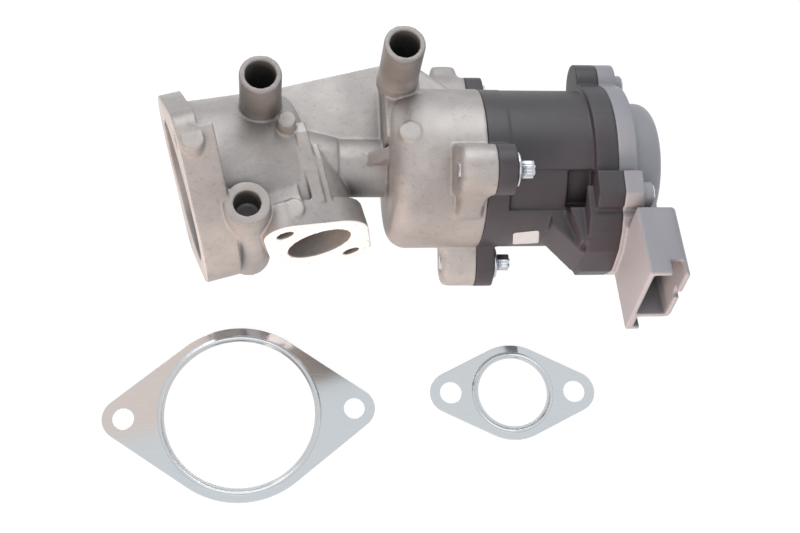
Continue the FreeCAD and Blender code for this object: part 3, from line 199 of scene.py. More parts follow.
class ValveSticker(bpy.types.PropertyGroup):
    station: length("Place", "Middle of the sticker along the valve axis", 0.1374)
    around: angle("Angle", "Middle of the sticker from +Y towards +Z about the valve axis", 175.4)
    radius: length("Radius", "Radius of the housing under the sticker", 0.0321)
    width: length("Width", "Width of the sticker", 0.0106)
    height: length("Height", "Height of the sticker", 0.0112)
    corner: length("Corner", "Radius of the sticker's corners", 0.0013)
    turn: angle("Turn", "How far the sticker is turned on the housing", -9.5)
    thickness: length("Thickness", "Thickness of the sticker", 0.0002)
    cells: count("Cells", "How many cells bend round the housing each way", 24, 4)


class ValveFasteners(bpy.types.PropertyGroup):
    angles: FloatVectorProperty(
        name="Ear Angles", description="Angle of each ear from +Y towards +Z about the valve axis",
        default=(math.radians(114.8), math.radians(211), math.radians(338)), size=3, subtype='EULER')
    circles: FloatVectorProperty(
        name="Ear Distances", description="Distance of each ear's bolt from the valve axis",
        default=(0.043, 0.0394, 0.043), size=3, unit='LENGTH')
    seat: length("Bolt Seat", "Place along the valve axis where the bolts' flanges rest", 0.127)
    flange_radius: length("Flange Radius", "Radius of the bolt's flange", 0.0068)
    shank_radius: length("Shank Radius", "Radius of the bolt's shank", 0.003)
    shank_length: length("Shank Length", "Length of the bolt's shank below its seat", 0.022)
    head_radius: length("Head Radius", "Middle radius of the star head", 0.0031)
    head_height: length("Head Height", "Height of the star head above its flange", 0.0056)
    lobe: factor("Lobes", "Height of the star's lobes as a share of its radius", 0.11, most=0.5)


class ValveStage(bpy.types.PropertyGroup):
    camera_place: FloatVectorProperty(
        name="Camera Place", description="Where the camera stands",
        default=(0.02906, -0.20136, 0.46465), size=3, subtype='TRANSLATION', unit='LENGTH')
    camera_turn: FloatVectorProperty(
        name="Camera Turn", description="How the camera is turned",
        default=(math.radians(20.057), math.radians(-6.0054), math.radians(-2.7183)), size=3,
        subtype='EULER')
    lens: FloatProperty(
        name="Lens", description="Focal length on the sensor", default=56.25, min=1)
    sensor: FloatProperty(
        name="Sensor", description="Width of the camera's sensor in millimetres", default=36, min=1)
    floor_level: length("Floor Level", "Height of the floor's top", -0.0571)
    floor_tone: factor("Floor Tone", "How much light the floor's paper gives back", 0.86)
    floor_glow: strength("Floor Glow", "Brightness of the floor's own light", 1.1)
    floor_seen: factor("Glow Seen", "Share of the glow that the camera sees", 0.82)
    floor_mirrored: factor("Glow Mirrored", "Share of the glow that reflections see", 0.6)
    sky_strength: strength("Sky Strength", "Brightness of the surrounding light on the object", 0.5)
    sky_gloss: strength("Sky Gloss", "Brightness of the surroundings in reflections", 0.92)


class Sock:
    """A socket or number that can be used in Python expressions."""

    def __init__(self, finish, link):
        self.finish = finish
        self.link = link

    def _math(self, operation, *values):
        return self.finish.node("ShaderNodeMath", {"operation": operation}, list(values))

    def __add__(self, other):
        return self._math("ADD", self, other)

    def __radd__(self, other):
        return self._math("ADD", other, self)

    def __sub__(self, other):
        return self._math("SUBTRACT", self, other)

    def __rsub__(self, other):
        return self._math("SUBTRACT", other, self)

    def __mul__(self, other):
        return self._math("MULTIPLY", self, other)

    def __rmul__(self, other):
        return self._math("MULTIPLY", other, self)

    def __gt__(self, other):
        return self._math("GREATER_THAN", self, other)

    def __lt__(self, other):
        return self._math("LESS_THAN", self, other)

    def __abs__(self):
        return self._math("ABSOLUTE", self)


class Finish:
    """Builds one node material."""

    def __init__(self, name):
        self.material = bpy.data.materials.new(name)
        self.material.use_nodes = True
        self.tree = self.material.node_tree
        self.tree.nodes.clear()
        self.output = self.tree.nodes.new("ShaderNodeOutputMaterial")

    def node(self, kind, settings=None, inputs=None, output=0):
        """Add a node, set it, fill its sockets and give back one of its outputs."""
        made = self.tree.nodes.new(kind)
        for key, value in (settings or {}).items():
            if key == "stops":
                self._stops(made.color_ramp, value)
            else:
                setattr(made, key, value)
        pairs = inputs.items() if isinstance(inputs, dict) else enumerate(inputs or [])
        for key, value in pairs:
            if value is None:
                continue
            socket = made.inputs[key]
            if isinstance(value, Sock):
                self.tree.links.new(value.link, socket)
            else:
                socket.default_value = value
        return Sock(self, made.outputs[output])

    @staticmethod
    def _stops(ramp, stops):
        while len(ramp.elements) < len(stops):
            ramp.elements.new(0.5)
        for element, (place, colour) in zip(ramp.elements, stops):
            element.position = place
            element.color = colour

    def position(self):
        """Object coordinates."""
        return self.node("ShaderNodeTexCoord", None, None, "Object")

    def coordinate(self, word):
        """One of the Object coordinates, X, Y or Z."""
        return self.node("ShaderNodeSeparateXYZ", None, [self.position()], word)

    def place(self, scale=(1, 1, 1), turn=(0, 0, 0)):
        """Object coordinates, stretched and turned."""
        return self.node("ShaderNodeMapping", None, {
            "Vector": self.position(), "Rotation": turn, "Scale": scale})

    def noise(self, vector, scale, detail=3.0, roughness=0.5):
        """A noise with so many waves to the metre."""
        return self.node("ShaderNodeTexNoise", None, {
            "Vector": vector, "Scale": scale, "Detail": detail, "Roughness": roughness})

    def bands(self, direction, scale, distortion):
        """Even bands across one direction, such as wires or sheets."""
        return self.node("ShaderNodeTexWave", {"wave_type": 'BANDS', "bands_direction": direction}, {
            "Vector": self.place(), "Scale": scale, "Distortion": distortion})

    def spread(self, value, low, high, new_low=0.0, new_high=1.0):
        """Map a range of values onto another, held at its ends."""
        return self.node("ShaderNodeMapRange", {"clamp": True}, {
            "Value": value, "From Min": low, "From Max": high, "To Min": new_low, "To Max": new_high})

    def vary(self, noise, low=0.0, high=1.0):
        """Map the usual range of a noise onto new values."""
        return self.spread(noise, *NOISE_RANGE, low, high)

    def blend(self, share, first, second, mode="MIX"):
        """Mix two colours."""
        made = self.tree.nodes.new("ShaderNodeMix")
        made.data_type = 'RGBA'
        made.blend_type = mode
        for index, value in ((0, share), (6, first), (7, second)):
            if isinstance(value, Sock):
                self.tree.links.new(value.link, made.inputs[index])
            else:
                made.inputs[index].default_value = value
        return Sock(self, made.outputs[2])

    def shaded(self, colour, shade):
        """A colour made lighter or darker by a factor."""
        grey = self.node("ShaderNodeCombineXYZ", None, [shade, shade, shade])
        return self.blend(1.0, colour, grey, 'MULTIPLY')

    def painted_hollow_shade(self, reach, floor):
        """Painted shade: a factor that falls from 1 to a floor inside narrow recesses, to darken a colour
        there.
        """
        openness = self.node("ShaderNodeAmbientOcclusion", {"samples": 8, "only_local": True},
                             {"Distance": reach}, "AO")
        return self.spread(openness, *OPEN_RANGE, floor, 1.0)

    def soft_edges(self, radius):
        """A normal that rounds the mesh's sharp edges."""
        return self.node("ShaderNodeBevel", {"samples": 6}, {"Radius": radius})

    def bump(self, height, distance, strength=1.0, normal=None):
        """A normal with the small heights of a texture."""
        return self.node("ShaderNodeBump", None, {
            "Strength": strength, "Distance": distance, "Height": height, "Normal": normal})

    def close(self, shader):
        """End the material with one shader."""
        self.tree.links.new(shader.link, self.output.inputs["Surface"])
        return self.material

    def surface(self, **values):
        """End the material with a surface; a word's underscores stand for spaces."""
        return self.close(self.node("ShaderNodeBsdfPrincipled", None, {
            key.replace("_", " "): value for key, value in values.items()}))


def rgb(red, green, blue):
    """An opaque colour."""
    return (red, green, blue, 1.0)


def grained_metal(name, colour, roughness=0.3, streak=(1, 1, 1), scale=900.0, metallic=1.0,
                  hollow_shade=1.0):
    """A machined or rolled metal with fine marks along one direction."""
    finish = Finish(name)
    marks = finish.noise(finish.place(streak), scale, 4.0, 0.6)
    cloud = finish.noise(finish.place(), 60.0, 2.0)
    shade = finish.vary(marks, 0.82, 1.06) * finish.vary(cloud, 0.93, 1.05)
    # Painted shade: the colour is darkened inside narrow recesses
    if hollow_shade < 1.0:
        shade = shade * finish.painted_hollow_shade(0.002, hollow_shade)
    return finish.surface(
        Base_Color=finish.shaded(rgb(*colour), shade), Metallic=metallic,
        Normal=finish.bump(marks, 0.00002, 0.6, finish.soft_edges(0.0002)),
        Roughness=finish.vary(marks, roughness * 0.8, roughness * 1.25))


def moulded_plastic(name, colour, roughness=0.5, grain=2200.0, depth=0.00003, fade=0.1, hollow_shade=1.0,
                    fleck=0.05, gloss=0.5, seam=0.0):
    """A moulded plastic with a fine eroded texture, faint flow marks and perhaps a parting line."""
    finish = Finish(name)
    texture = finish.noise(finish.place(), grain, 2.0)
    flow = finish.noise(finish.place((1.0, 0.25, 0.25)), 55.0, 3.0)
    shade = finish.vary(flow, 1.0 - fade, 1.0 + fade) * finish.vary(texture, 1.0 - fleck, 1.0 + fleck)
    # Painted shade: the colour is darkened inside narrow recesses
    if hollow_shade < 1.0:
        shade = shade * finish.painted_hollow_shade(0.012, hollow_shade)
    if seam:
        shade = shade * (1.0 - seam * parting_line(finish))
    return finish.surface(
        Base_Color=finish.shaded(rgb(*colour), shade), Specular_IOR_Level=gloss,
        Normal=finish.bump(texture, depth, 0.5, finish.soft_edges(0.0005)),
        Roughness=finish.spread(texture + flow, 0.7, 1.3, roughness - 0.06, roughness + 0.08))


def parting_line(finish):
    """A mask of the mould's parting line on top of the motor housing."""
    line = abs(finish.coordinate("Y") - SEAM_Y) < SEAM_HALF_WIDTH
    for word, start in SEAM_START.items():
        line = line * (finish.coordinate(word) > start)
    return line


def cast_aluminium(name, colours):
    """Die-cast aluminium: fine skin, soft clouds, and bright machined faces."""
    finish = Finish(name)
    place = finish.place()
    skin = finish.noise(place, 1500.0, 3.0, 0.6)
    cloud = finish.noise(place, 38.0, 3.0, 0.55)
    speck = finish.noise(place, 420.0, 2.0, 0.5)
    # The shade holds the casting's clouds, skin and specks, and painted shade inside narrow recesses
    shade = (finish.vary(cloud, 0.9, 1.06) * finish.spread(skin, 0.35, 0.65, 0.91, 1.06)
             * finish.spread(speck, 0.28, 0.42, 0.88, 1.0) * finish.painted_hollow_shade(0.014, 0.45))
    skin_colour = finish.blend(finish.spread(cloud, 0.4, 0.7), rgb(*colours.skin_dark),
                               rgb(*colours.skin_light))
    tint = finish.shaded(skin_colour, shade)
    # Painted shade on the hose spigots
    tint = finish.blend(spigot_shade(finish) * 0.33, tint, rgb(0.10, 0.095, 0.095))
    machined = machined_faces(finish)
    tint = finish.blend(machined, tint, rgb(*colours.machined))
    tint = finish.blend(machined * (speck < 0.36) * 0.35, tint, rgb(0.25, 0.24, 0.23))
    return finish.surface(
        Base_Color=tint, Metallic=0.7 - machined * 0.6,
        Normal=finish.bump(skin * 0.5 + speck * 0.5, 0.00017, 0.6),
        Roughness=finish.vary(skin, 0.44, 0.58) + machined * 0.1)


def spigot_shade(finish):
    """A mask of the painted shade on the two hose spigots, which comes in over a band of heights."""
    level = finish.node("ShaderNodeVectorMath", {"operation": 'MULTIPLY'}, [
        finish.position(), (1, 1, 0)])
    heads = [
        finish.node("ShaderNodeVectorMath", {"operation": 'DISTANCE'}, [level, (x, y, 0)], "Value")
        < SPIGOT_REACH for x, y in SPIGOTS]
    return sum(heads[1:], heads[0]) * finish.spread(finish.coordinate("Z"), *SPIGOT_SHADE_HEIGHTS)


def machined_faces(finish):
    """A mask of the two machined port faces, fainter on the outlet's."""
    position = finish.position()

    def along(*direction):
        return finish.node("ShaderNodeVectorMath", {"operation": 'DOT_PRODUCT'},
                           [position, direction], "Value")
    outlet = along(-math.cos(PORT_LEAN), -math.sin(PORT_LEAN), 0) > OUTLET_FACE
    station = along(1, 0, 0)
    first, last = INLET_ENDS
    inlet = ((along(math.sin(PORT_LEAN), -math.cos(PORT_LEAN), 0) > INLET_FACE)
             * (station > first) * (station < last))
    return finish.node("ShaderNodeMath", {"operation": 'MAXIMUM'}, [outlet * 0.3, inlet])


def copper_winding(name, colours):
    """Enamelled copper wire, wound round each tooth."""
    finish = Finish(name)
    wires = finish.bands('Y', 380.0, 0.4)
    return finish.surface(
        Base_Color=finish.blend(wires, rgb(0.20, 0.07, 0.03), rgb(0.62, 0.28, 0.12)),
        Metallic=0.8, Roughness=0.32, Normal=finish.bump(wires, 0.0002, 0.8))


def lamination(name, colours):
    """Stacked electrical sheet."""
    finish = Finish(name)
    sheets = finish.bands('X', 320.0, 0.1)
    return finish.surface(
        Base_Color=finish.blend(sheets, rgb(0.10, 0.105, 0.115), rgb(0.32, 0.33, 0.35)),
        Metallic=0.7, Roughness=0.45, Normal=finish.bump(sheets, 0.0001, 0.6))


def board_green(name, colours):
    """A lacquered circuit board with faint tracks."""
    finish = Finish(name)
    tracks = finish.node("ShaderNodeTexVoronoi", {"feature": 'DISTANCE_TO_EDGE'}, {
        "Vector": finish.place(), "Scale": 260.0}, "Distance")
    return finish.surface(
        Base_Color=finish.blend(tracks < 0.05, rgb(0.02, 0.16, 0.07), rgb(0.05, 0.30, 0.15)),
        Roughness=0.3, Coat_Weight=0.5)


def sticker_white(name, colours):
    """Bare coated paper, with faint fibres."""
    finish = Finish(name)
    fibre = finish.noise(finish.place((1, 3, 1)), 1400.0, 3.0)
    tint = finish.blend(finish.spread(fibre, 0.35, 0.65), rgb(*colours.paper_dark),
                        rgb(*colours.paper_light))
    return finish.surface(Base_Color=tint, Roughness=0.42, Normal=finish.bump(fibre, 0.00001, 0.4))


def gasket_steel(name, colours):
    """Bright rolled steel sheet with fine lengthwise marks."""
    finish = Finish(name)
    rolled = finish.noise(finish.place((0.12, 1.0, 1.0), (0, 0, 0.5)), 1300.0, 4.0, 0.6)
    cloud = finish.noise(finish.place(), 30.0, 2.0)
    tint = finish.blend(finish.vary(rolled), rgb(*colours.gasket_dark), rgb(*colours.gasket_light))
    return finish.surface(
        Base_Color=tint, Metallic=1.0, Roughness=finish.vary(rolled, 0.07, 0.10),
        Normal=finish.bump(rolled * 0.1 + cloud, 0.00003, 0.3, finish.soft_edges(0.0003)))


FINISHES = {
    "cast_aluminium": cast_aluminium,
    "valve_steel": lambda name, own: grained_metal(name, (0.50, 0.49, 0.47), 0.32, LATHED),
    "bush_bronze": lambda name, own: grained_metal(name, (0.60, 0.42, 0.20), 0.4),
    "seal_rubber": lambda name, own: moulded_plastic(name, (0.02, 0.02, 0.02), 0.6, 1500.0),
    "spring_steel": lambda name, own: grained_metal(name, (0.42, 0.42, 0.43), 0.25),
    "bearing_steel": lambda name, own: grained_metal(name, (0.60, 0.60, 0.61), 0.2, LATHED),
    "cam_polymer": lambda name, own: moulded_plastic(name, (0.62, 0.57, 0.44), 0.42),
    "magnet_black": lambda name, own: grained_metal(name, (0.10, 0.10, 0.11), 0.4, metallic=0.5),
    "lamination": lamination,
    "copper_winding": copper_winding,
    "black_plastic": lambda name, own: moulded_plastic(
        name, own.black, 0.46, 1500.0, 0.00006, fade=0.2, hollow_shade=0.35, fleck=0.12, gloss=0.6,
        seam=0.45),
    "grey_plastic": lambda name, own: moulded_plastic(name, own.grey, 0.5, hollow_shade=0.06),
    "bright_zinc": lambda name, own: grained_metal(name, own.zinc, 0.2, scale=700.0, hollow_shade=0.2),
    "contact_tin": lambda name, own: grained_metal(name, (0.70, 0.69, 0.66), 0.25),
    "board_green": board_green,
    "sticker_white": sticker_white,
    "gasket_steel": gasket_steel,
}

# The materials made so far, by slot
MADE = {}


def finished(slot):
    """The material of one slot, made on first use."""
    if slot not in MADE:
        MADE[slot] = FINISHES[slot](slot, bpy.context.scene.valve_colours)
    return MADE[slot]


def slot_of(node):
    """The record's slot for a node."""
    return next(part["material_slot"] for part in frame["record"]["subparts"] if part["node"] == node)


def body_of(node):
    """The body that a node belongs to."""
    bodies = frame["record"]["behaviour"]["bodies"]
    return next(body for body, nodes in bodies.items() if node in nodes)


def dress(mesh, slot):
    """Give a mesh the finish of a slot."""
    mesh.materials.clear()
    mesh.materials.append(finished(slot))


def put(name, data):
    """Put a mesh, a lamp or a camera in the scene."""
    item = bpy.data.objects.new(name, data)
    bpy.context.scene.collection.objects.link(item)
    return item


def add_piece(name, mesh, node):
    """Show a finished mesh in place of a node, on the node's own body."""
    dress(mesh, slot_of(node))
    piece = put(name, mesh)
    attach(piece, body_of(node))
    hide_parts(node)


def mesh_from(shape, name):
    """Turn a bmesh into a mesh and let go of it."""
    mesh = bpy.data.meshes.new(name)
    shape.to_mesh(mesh)
    shape.free()
    return mesh


def smooth_mesh_from(shape, name):
    """Turn a bmesh into a mesh with smooth faces that point outwards."""
    bmesh.ops.recalc_face_normals(shape, faces=shape.faces)
    for face in shape.faces:
        face.smooth = True
    return mesh_from(shape, name)


def join(shape, other):
    """Add one bmesh to another and let go of it."""
    mesh = mesh_from(other, "joined_part")
    shape.from_mesh(mesh)
    bpy.data.meshes.remove(mesh)


def merged_copy(node):
    """A copy of a node's triangles with the shared points merged."""
    shape = bmesh.new()
    shape.from_mesh(frame["nodes"][node].data)
    bmesh.ops.remove_doubles(shape, verts=shape.verts, dist=MERGE_CARRIED)
    return mesh_from(shape, node + "_copy")


def with_modifiers(mesh, settings, chosen=None):
    """Apply a list of modifiers to a mesh; chosen gives each point its weight in a group."""
    holder = put("modifier_holder", mesh)
    if chosen:
        group = holder.vertex_groups.new(name="chosen")
        for point in mesh.vertices:
            weight = chosen(point.co)
            if weight > 0:
                group.add([point.index], weight, 'REPLACE')
    for kind, values in settings:
        modifier = holder.modifiers.new(kind, kind)
        for key, value in values.items():
            setattr(modifier, key, value)
    graph = bpy.context.evaluated_depsgraph_get()
    result = bpy.data.meshes.new_from_object(holder.evaluated_get(graph))
    bpy.data.objects.remove(holder)
    return result


def softening(sizes):
    """The modifiers that round a body's edges."""
    return [
        ('REMESH', {"mode": 'VOXEL', "voxel_size": sizes.voxel, "use_smooth_shade": True}),
        ('SMOOTH', {"factor": 0.5, "iterations": sizes.passes}),
    ]


def thinning(kept):
    """The modifier that leaves out triangles where the surface is plain."""
    return [('DECIMATE', {"ratio": kept})]


def turned_shape(shape, profile):
    """Spin a line of station and radius pairs about +X."""
    points = [shape.verts.new((station, 0, radius)) for station, radius in profile]
    edges = [shape.edges.new(pair) for pair in zip(points, points[1:])]
    bmesh.ops.spin(shape, geom=points + edges, cent=(0, 0, 0), axis=(1, 0, 0), dvec=(0, 0, 0),
                   angle=math.tau, steps=ROUND_STEPS, use_merge=True)
    bmesh.ops.remove_doubles(shape, verts=shape.verts, dist=MERGE_TURNED)


def turn_all(shape, radians, axis):
    """Turn a bmesh about one of the main axes."""
    bmesh.ops.rotate(shape, verts=shape.verts, cent=(0, 0, 0),
                     matrix=Matrix.Rotation(radians, 3, axis))


class VALVE_OT_carried_parts(bpy.types.Operator):
    """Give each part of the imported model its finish"""
    bl_idname = "valve.carried_parts"
    bl_label = "Finish Carried Parts"

    def execute(self, context):
        for name, item in frame["nodes"].items():
            dress(item.data, slot_of(name))
        return {'FINISHED'}


class VALVE_OT_casting(bpy.types.Operator):
    """Add the casting with the soft edges and fillets of a die-cast skin"""
    bl_idname = "valve.casting"
    bl_label = "Add Casting"

    def execute(self, context):
        sizes = context.scene.valve_casting
        cutter = put("flange_cutter", self.thin_side(sizes))
        mesh = with_modifiers(merged_copy("valve_housing"), [
            ('BOOLEAN', {"operation": 'DIFFERENCE', "object": cutter, "solver": 'EXACT'}),
            *softening(sizes)])
        bpy.data.objects.remove(cutter)
        mesh = with_modifiers(mesh, [
            ('SMOOTH', {"factor": 0.5, "iterations": sizes.ear_passes, "vertex_group": "chosen"}),
            *thinning(sizes.kept)], self.on_ear)
        add_piece("cast_body", mesh, "valve_housing")
        return {'FINISHED'}

    @staticmethod
    def on_ear(point):
        """How far a point belongs to the free end of one of the ears, from 0 to 1."""
        out = (math.hypot(point.y - AXIS_Y, point.z) - EAR_FOOT[0]) / EAR_FOOT[1]
        after_chamber = (point.x - EAR_ROOT[0]) / EAR_ROOT[1]
        before_joint = (EAR_JOINT[0] - point.x) / EAR_JOINT[1]
        return min(out, before_joint, after_chamber, 1.0)

    @staticmethod
    def thin_side(sizes):
        """The space behind the thin side of the outlet flange, outside the duct's cone."""
        start = sizes.thin_start
        duct = [(station, CONE_RADIUS - CONE_SLOPE * station) for station in (start, CUT_END)]
        corners = duct + [(CUT_END, CUT_RADIUS), (start, CUT_RADIUS)]
        shape = bmesh.new()
        section = shape.faces.new([shape.verts.new((x, 0, z)) for x, z in corners])
        turn_all(shape, CUT_TURN, 'X')
        bmesh.ops.spin(
            shape, geom=[section] + section.verts[:] + section.edges[:], cent=(0, 0, 0),
            axis=(1, 0, 0), dvec=(0, 0, 0), angle=-sizes.thin_reach, steps=ROUND_STEPS)
        shape.normal_update()
        bmesh.ops.recalc_face_normals(shape, faces=shape.faces)
        turn_all(shape, PORT_LEAN, 'Z')
        return mesh_from(shape, "flange_cutter")


class VALVE_OT_mouldings(bpy.types.Operator):
    """Add the motor housing and the end cover with the round edges of mouldings"""
    bl_idname = "valve.mouldings"
    bl_label = "Add Mouldings"

    def execute(self, context):
        sizes = context.scene.valve_mouldings
        for name, node in (("moulded_housing", "actuator_housing"), ("moulded_cover", "end_cover")):
            mesh = with_modifiers(merged_copy(node), softening(sizes) + thinning(sizes.kept))
            add_piece(name, mesh, node)
        return {'FINISHED'}


class VALVE_OT_spring(bpy.types.Operator):
    """Add the return spring between the casting and the carrier, with fewer triangles in its fine coils
    """
    bl_idname = "valve.spring"
    bl_label = "Add Return Spring"

    def execute(self, context):
        slot = slot_of("return_spring")
        mesh = with_modifiers(merged_copy("return_spring"), thinning(SPRING_KEPT))
        dress(mesh, slot)
        piece = put("closing_spring", mesh)
        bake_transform(piece)
        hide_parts("return_spring")
        return {'FINISHED'}


class VALVE_OT_sticker(bpy.types.Operator):
    """Add the small bare sticker, wrapped on the motor housing"""
    bl_idname = "valve.sticker"
    bl_label = "Add Sticker"

    def execute(self, context):
        sizes = context.scene.valve_sticker
        shape = bmesh.new()
        bmesh.ops.create_grid(shape, x_segments=sizes.cells, y_segments=sizes.cells, size=1.0)
        for point in shape.verts:
            point.co = self.wrapped(sizes, *self.flat_place(sizes, point.co.x, point.co.y))
        upper = bmesh.ops.extrude_face_region(shape, geom=shape.faces[:])
        for item in upper["geom"]:
            if isinstance(item, bmesh.types.BMVert):
                outward = Vector((0, item.co.y - AXIS_Y, item.co.z)).normalized()
                item.co += outward * sizes.thickness
        add_piece("bare_sticker", smooth_mesh_from(shape, "bare_sticker"), "label_sticker")
        return {'FINISHED'}

    @staticmethod
    def flat_place(sizes, across, along):
        """A point of the square grid moved into the sticker's outline with round corners."""
        place = []
        beyond = []
        for share, side in ((across, sizes.width), (along, sizes.height)):
            straight = side / 2 - sizes.corner
            reach = abs(share) * side / 2
            beyond.append(max(reach - straight, 0))
            place.append((min(reach, straight), math.copysign(1, share)))
        distance = math.hypot(*beyond)
        shrink = max(beyond) / distance if distance else 1
        return [sign * (inner + extra * shrink)
                for (inner, sign), extra in zip(place, beyond)]

    @staticmethod
    def wrapped(sizes, across, up):
        """A flat point turned and laid on the cylinder of the motor housing."""
        along = across * math.cos(sizes.turn) - up * math.sin(sizes.turn)
        arc = across * math.sin(sizes.turn) + up * math.cos(sizes.turn)
        around = sizes.around + arc / sizes.radius
        return Vector((sizes.station + along, AXIS_Y + sizes.radius * math.cos(around),
                       sizes.radius * math.sin(around)))


class VALVE_OT_star_bolts(bpy.types.Operator):
    """Add the flanged bolts with external star heads"""
    bl_idname = "valve.star_bolts"
    bl_label = "Add Star Bolts"

    def execute(self, context):
        sizes = context.scene.valve_fasteners
        shape = bmesh.new()
        for around, circle in zip(sizes.angles, sizes.circles):
            bolt = self.bolt(sizes)
            place = (sizes.seat, AXIS_Y + circle * math.cos(around), circle * math.sin(around))
            bmesh.ops.translate(bolt, verts=bolt.verts, vec=place)
            join(shape, bolt)
        add_piece("star_bolts", smooth_mesh_from(shape, "star_bolts"), "actuator_bolts")
        return {'FINISHED'}

    def bolt(self, sizes):
        """One bolt along +X, with its flange's underside at the origin."""
        shape = bmesh.new()
        rim, neck, shank = sizes.flange_radius, sizes.head_radius, sizes.shank_radius
        tip = -sizes.shank_length
        fillet = [(height, neck + extra) for height, extra in FILLET_OUTLINE]
        turned_shape(shape, [
            (tip, 0), (tip, shank - SHANK_CHAMFER), (tip + SHANK_CHAMFER, shank), (0, shank),
            *[(height, rim - inside) for height, inside in FLANGE_OUTLINE],
            *fillet, (fillet[-1][0], 0)])
        join(shape, self.star_head(sizes))
        return shape

    @staticmethod
    def star_head(sizes):
        """The head of a bolt, with round lobes."""
        head = bmesh.new()
        bmesh.ops.create_circle(head, cap_ends=True, segments=HEAD_STEPS, radius=sizes.head_radius)
        for point in head.verts:
            turn = math.atan2(point.co.y, point.co.x)
            point.co *= 1 + sizes.lobe * math.cos(HEAD_LOBES * turn)
        top = bmesh.ops.extrude_face_region(head, geom=head.faces[:])
        raised = [item for item in top["geom"] if isinstance(item, bmesh.types.BMVert)]
        bmesh.ops.translate(head, verts=raised, vec=(0, 0, sizes.head_height))
        faces = [item for item in top["geom"] if isinstance(item, bmesh.types.BMFace)]
        rim_edges = list(dict.fromkeys(edge for face in faces for edge in face.edges))
        bmesh.ops.bevel(head, geom=rim_edges, offset=HEAD_ROUNDING, segments=2, affect='EDGES',
                        profile=0.5, material=-1)
        turn_all(head, math.radians(90), 'Y')
        bmesh.ops.translate(head, verts=head.verts, vec=(HEAD_FOOT, 0, 0))
        return head


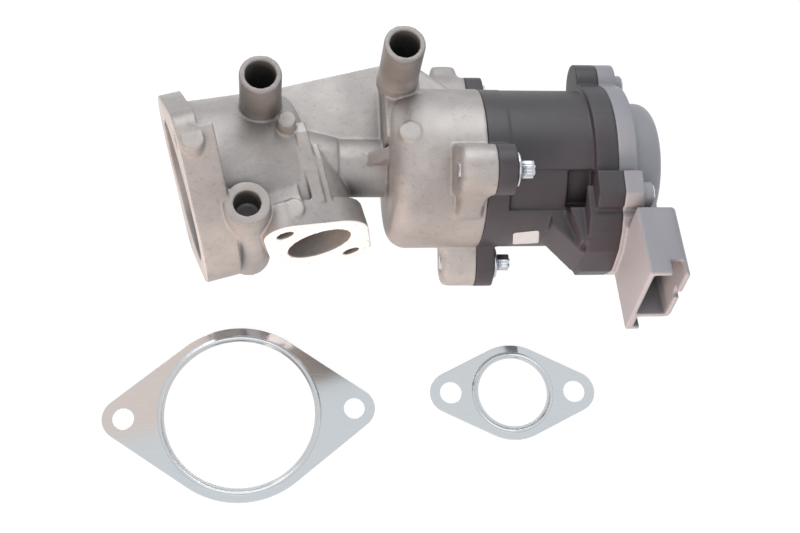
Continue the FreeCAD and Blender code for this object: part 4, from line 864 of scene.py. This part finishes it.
class VALVE_OT_stage(bpy.types.Operator):
    """Add the white floor, the soft studio lights and the camera"""
    bl_idname = "valve.stage"
    bl_label = "Add Studio"

    def execute(self, context):
        sizes = context.scene.valve_stage
        self.floor(sizes)
        self.sky(context.scene, sizes)
        for lamp in LAMPS:
            self.lamp(**lamp)
        # Two glowing cards that paint reflections
        self.card("warm_reflection_card", WARM_REFLECTION_CARD, self.painted_reflection_tone)
        self.card("cool_reflection_card", COOL_REFLECTION_CARD, self.pale_reflection_tone)
        self.camera(context.scene, sizes)
        context.scene.view_settings.view_transform = 'Standard'
        return {'FINISHED'}

    @staticmethod
    def sheet(name, half, turn, place, material):
        """A level sheet of the studio."""
        shape = bmesh.new()
        bmesh.ops.create_grid(shape, x_segments=1, y_segments=1, size=1.0)
        bmesh.ops.scale(shape, verts=shape.verts, vec=(*half, 1))
        turn_all(shape, math.radians(turn), 'Z')
        bmesh.ops.translate(shape, verts=shape.verts, vec=place)
        mesh = mesh_from(shape, name)
        mesh.materials.append(material)
        sheet = put(name, mesh)
        return sheet

    def floor(self, sizes):
        """A white floor that shines a little for the camera and for reflections."""
        finish = Finish("floor_white")
        paper = finish.node("ShaderNodeBsdfDiffuse", None, {"Color": rgb(*[sizes.floor_tone] * 3)})
        glow = finish.node("ShaderNodeEmission", None, {
            "Color": rgb(1, 1, 1), "Strength": sizes.floor_glow})
        seen = finish.node("ShaderNodeLightPath", None, None, "Is Camera Ray")
        mirrored = finish.node("ShaderNodeLightPath", None, None, "Is Glossy Ray")
        share = seen * sizes.floor_seen + mirrored * sizes.floor_mirrored
        material = finish.close(finish.node("ShaderNodeMixShader", None, [share, paper, glow]))
        self.sheet("floor", (FLOOR_REACH, FLOOR_REACH), 0, (0, 0, sizes.floor_level), material)

    @staticmethod
    def sky(scene, sizes):
        """A pale surrounding: one strength as light, one in reflections, white for the camera."""
        world = bpy.data.worlds.new("studio")
        world.use_nodes = True
        tree = world.node_tree
        back = tree.nodes["Background"]
        path = tree.nodes.new("ShaderNodeLightPath")
        gloss = tree.nodes.new("ShaderNodeMapRange")
        gloss.inputs["To Min"].default_value = sizes.sky_strength
        gloss.inputs["To Max"].default_value = sizes.sky_gloss
        tree.links.new(path.outputs["Is Glossy Ray"], gloss.inputs["Value"])
        strength = tree.nodes.new("ShaderNodeMapRange")
        strength.inputs["To Max"].default_value = 1.0
        tree.links.new(path.outputs["Is Camera Ray"], strength.inputs["Value"])
        tree.links.new(gloss.outputs[0], strength.inputs["To Min"])
        tree.links.new(strength.outputs[0], back.inputs["Strength"])
        back.inputs["Color"].default_value = rgb(0.97, 0.985, 1)
        scene.world = world

    def card(self, name, shape, paint):
        """A level card that glows only in reflections: a painted reflection."""
        finish = Finish(name)
        material = finish.close(finish.node("ShaderNodeEmission", None, {
            "Color": paint(finish), "Strength": 1.0}))
        card = self.sheet(name, *shape, material)
        for word in ("camera", "diffuse", "transmission", "volume_scatter", "shadow"):
            setattr(card, "visible_" + word, False)

    @staticmethod
    def painted_reflection_tone(finish):
        """Painted reflection: pale and warm surroundings on the left, the casting's shaded underside in
        brown on the right.
        """
        across = finish.spread(finish.coordinate("X"), -0.1, 0.1)
        return finish.node("ShaderNodeValToRGB", {"stops": [
            (0.0, rgb(0.97, 0.83, 0.77)), (0.4, rgb(0.95, 0.81, 0.75)),
            (0.57, rgb(0.62, 0.51, 0.46)), (1.0, rgb(0.24, 0.18, 0.15))]}, [across])

    @staticmethod
    def pale_reflection_tone(finish):
        """Painted reflection: the pale tone of the surroundings."""
        return rgb(0.89, 0.91, 0.93)

    @staticmethod
    def lamp(name, place, side, power, colour=(1, 1, 1), glossy=False):
        """A soft square lamp; glossy says whether reflections see it."""
        light = bpy.data.lights.new(name, 'AREA')
        light.size = side
        light.energy = power
        light.color = colour
        holder = put(name, light)
        holder.location = place
        holder.rotation_euler = (LAMP_AIM - Vector(place)).to_track_quat('-Z', 'Y').to_euler()
        holder.visible_glossy = glossy

    @staticmethod
    def camera(scene, sizes):
        """The camera that took the photograph."""
        view = bpy.data.cameras.new("camera")
        view.lens = sizes.lens
        view.sensor_width = sizes.sensor
        view.clip_start = 0.01
        holder = put("camera", view)
        holder.location = sizes.camera_place
        holder.rotation_euler = sizes.camera_turn
        scene.camera = holder


OPERATORS = (
    VALVE_OT_carried_parts,
    VALVE_OT_casting,
    VALVE_OT_mouldings,
    VALVE_OT_spring,
    VALVE_OT_sticker,
    VALVE_OT_star_bolts,
    VALVE_OT_stage,
)

GROUPS = {
    "valve_colours": ValveColours,
    "valve_casting": ValveCasting,
    "valve_mouldings": ValveMouldings,
    "valve_sticker": ValveSticker,
    "valve_fasteners": ValveFasteners,
    "valve_stage": ValveStage,
}


class VALVE_PT_panel(bpy.types.Panel):
    """Lists the valve's operators and sizes"""
    bl_label = "Exhaust Gas Valve"
    bl_idname = "VALVE_PT_panel"
    bl_space_type = 'VIEW_3D'
    bl_region_type = 'UI'
    bl_category = "Valve"

    def draw(self, context):
        for operator in OPERATORS:
            self.layout.operator(operator.bl_idname)
        for name, group in GROUPS.items():
            box = self.layout.box()
            for key in group.__annotations__:
                box.prop(getattr(context.scene, name), key)


def register():
    for item in (*GROUPS.values(), *OPERATORS, VALVE_PT_panel):
        bpy.utils.register_class(item)
    for name, group in GROUPS.items():
        setattr(bpy.types.Scene, name, PointerProperty(type=group))


def unregister():
    for name in GROUPS:
        delattr(bpy.types.Scene, name)
    for item in reversed((*GROUPS.values(), *OPERATORS, VALVE_PT_panel)):
        bpy.utils.unregister_class(item)


def main():
    register()
    bpy.ops.valve.carried_parts()
    bpy.ops.valve.casting()
    bpy.ops.valve.mouldings()
    bpy.ops.valve.spring()
    bpy.ops.valve.sticker()
    bpy.ops.valve.star_bolts()
    bpy.ops.valve.stage()


if __name__ == "__main__":
    main()
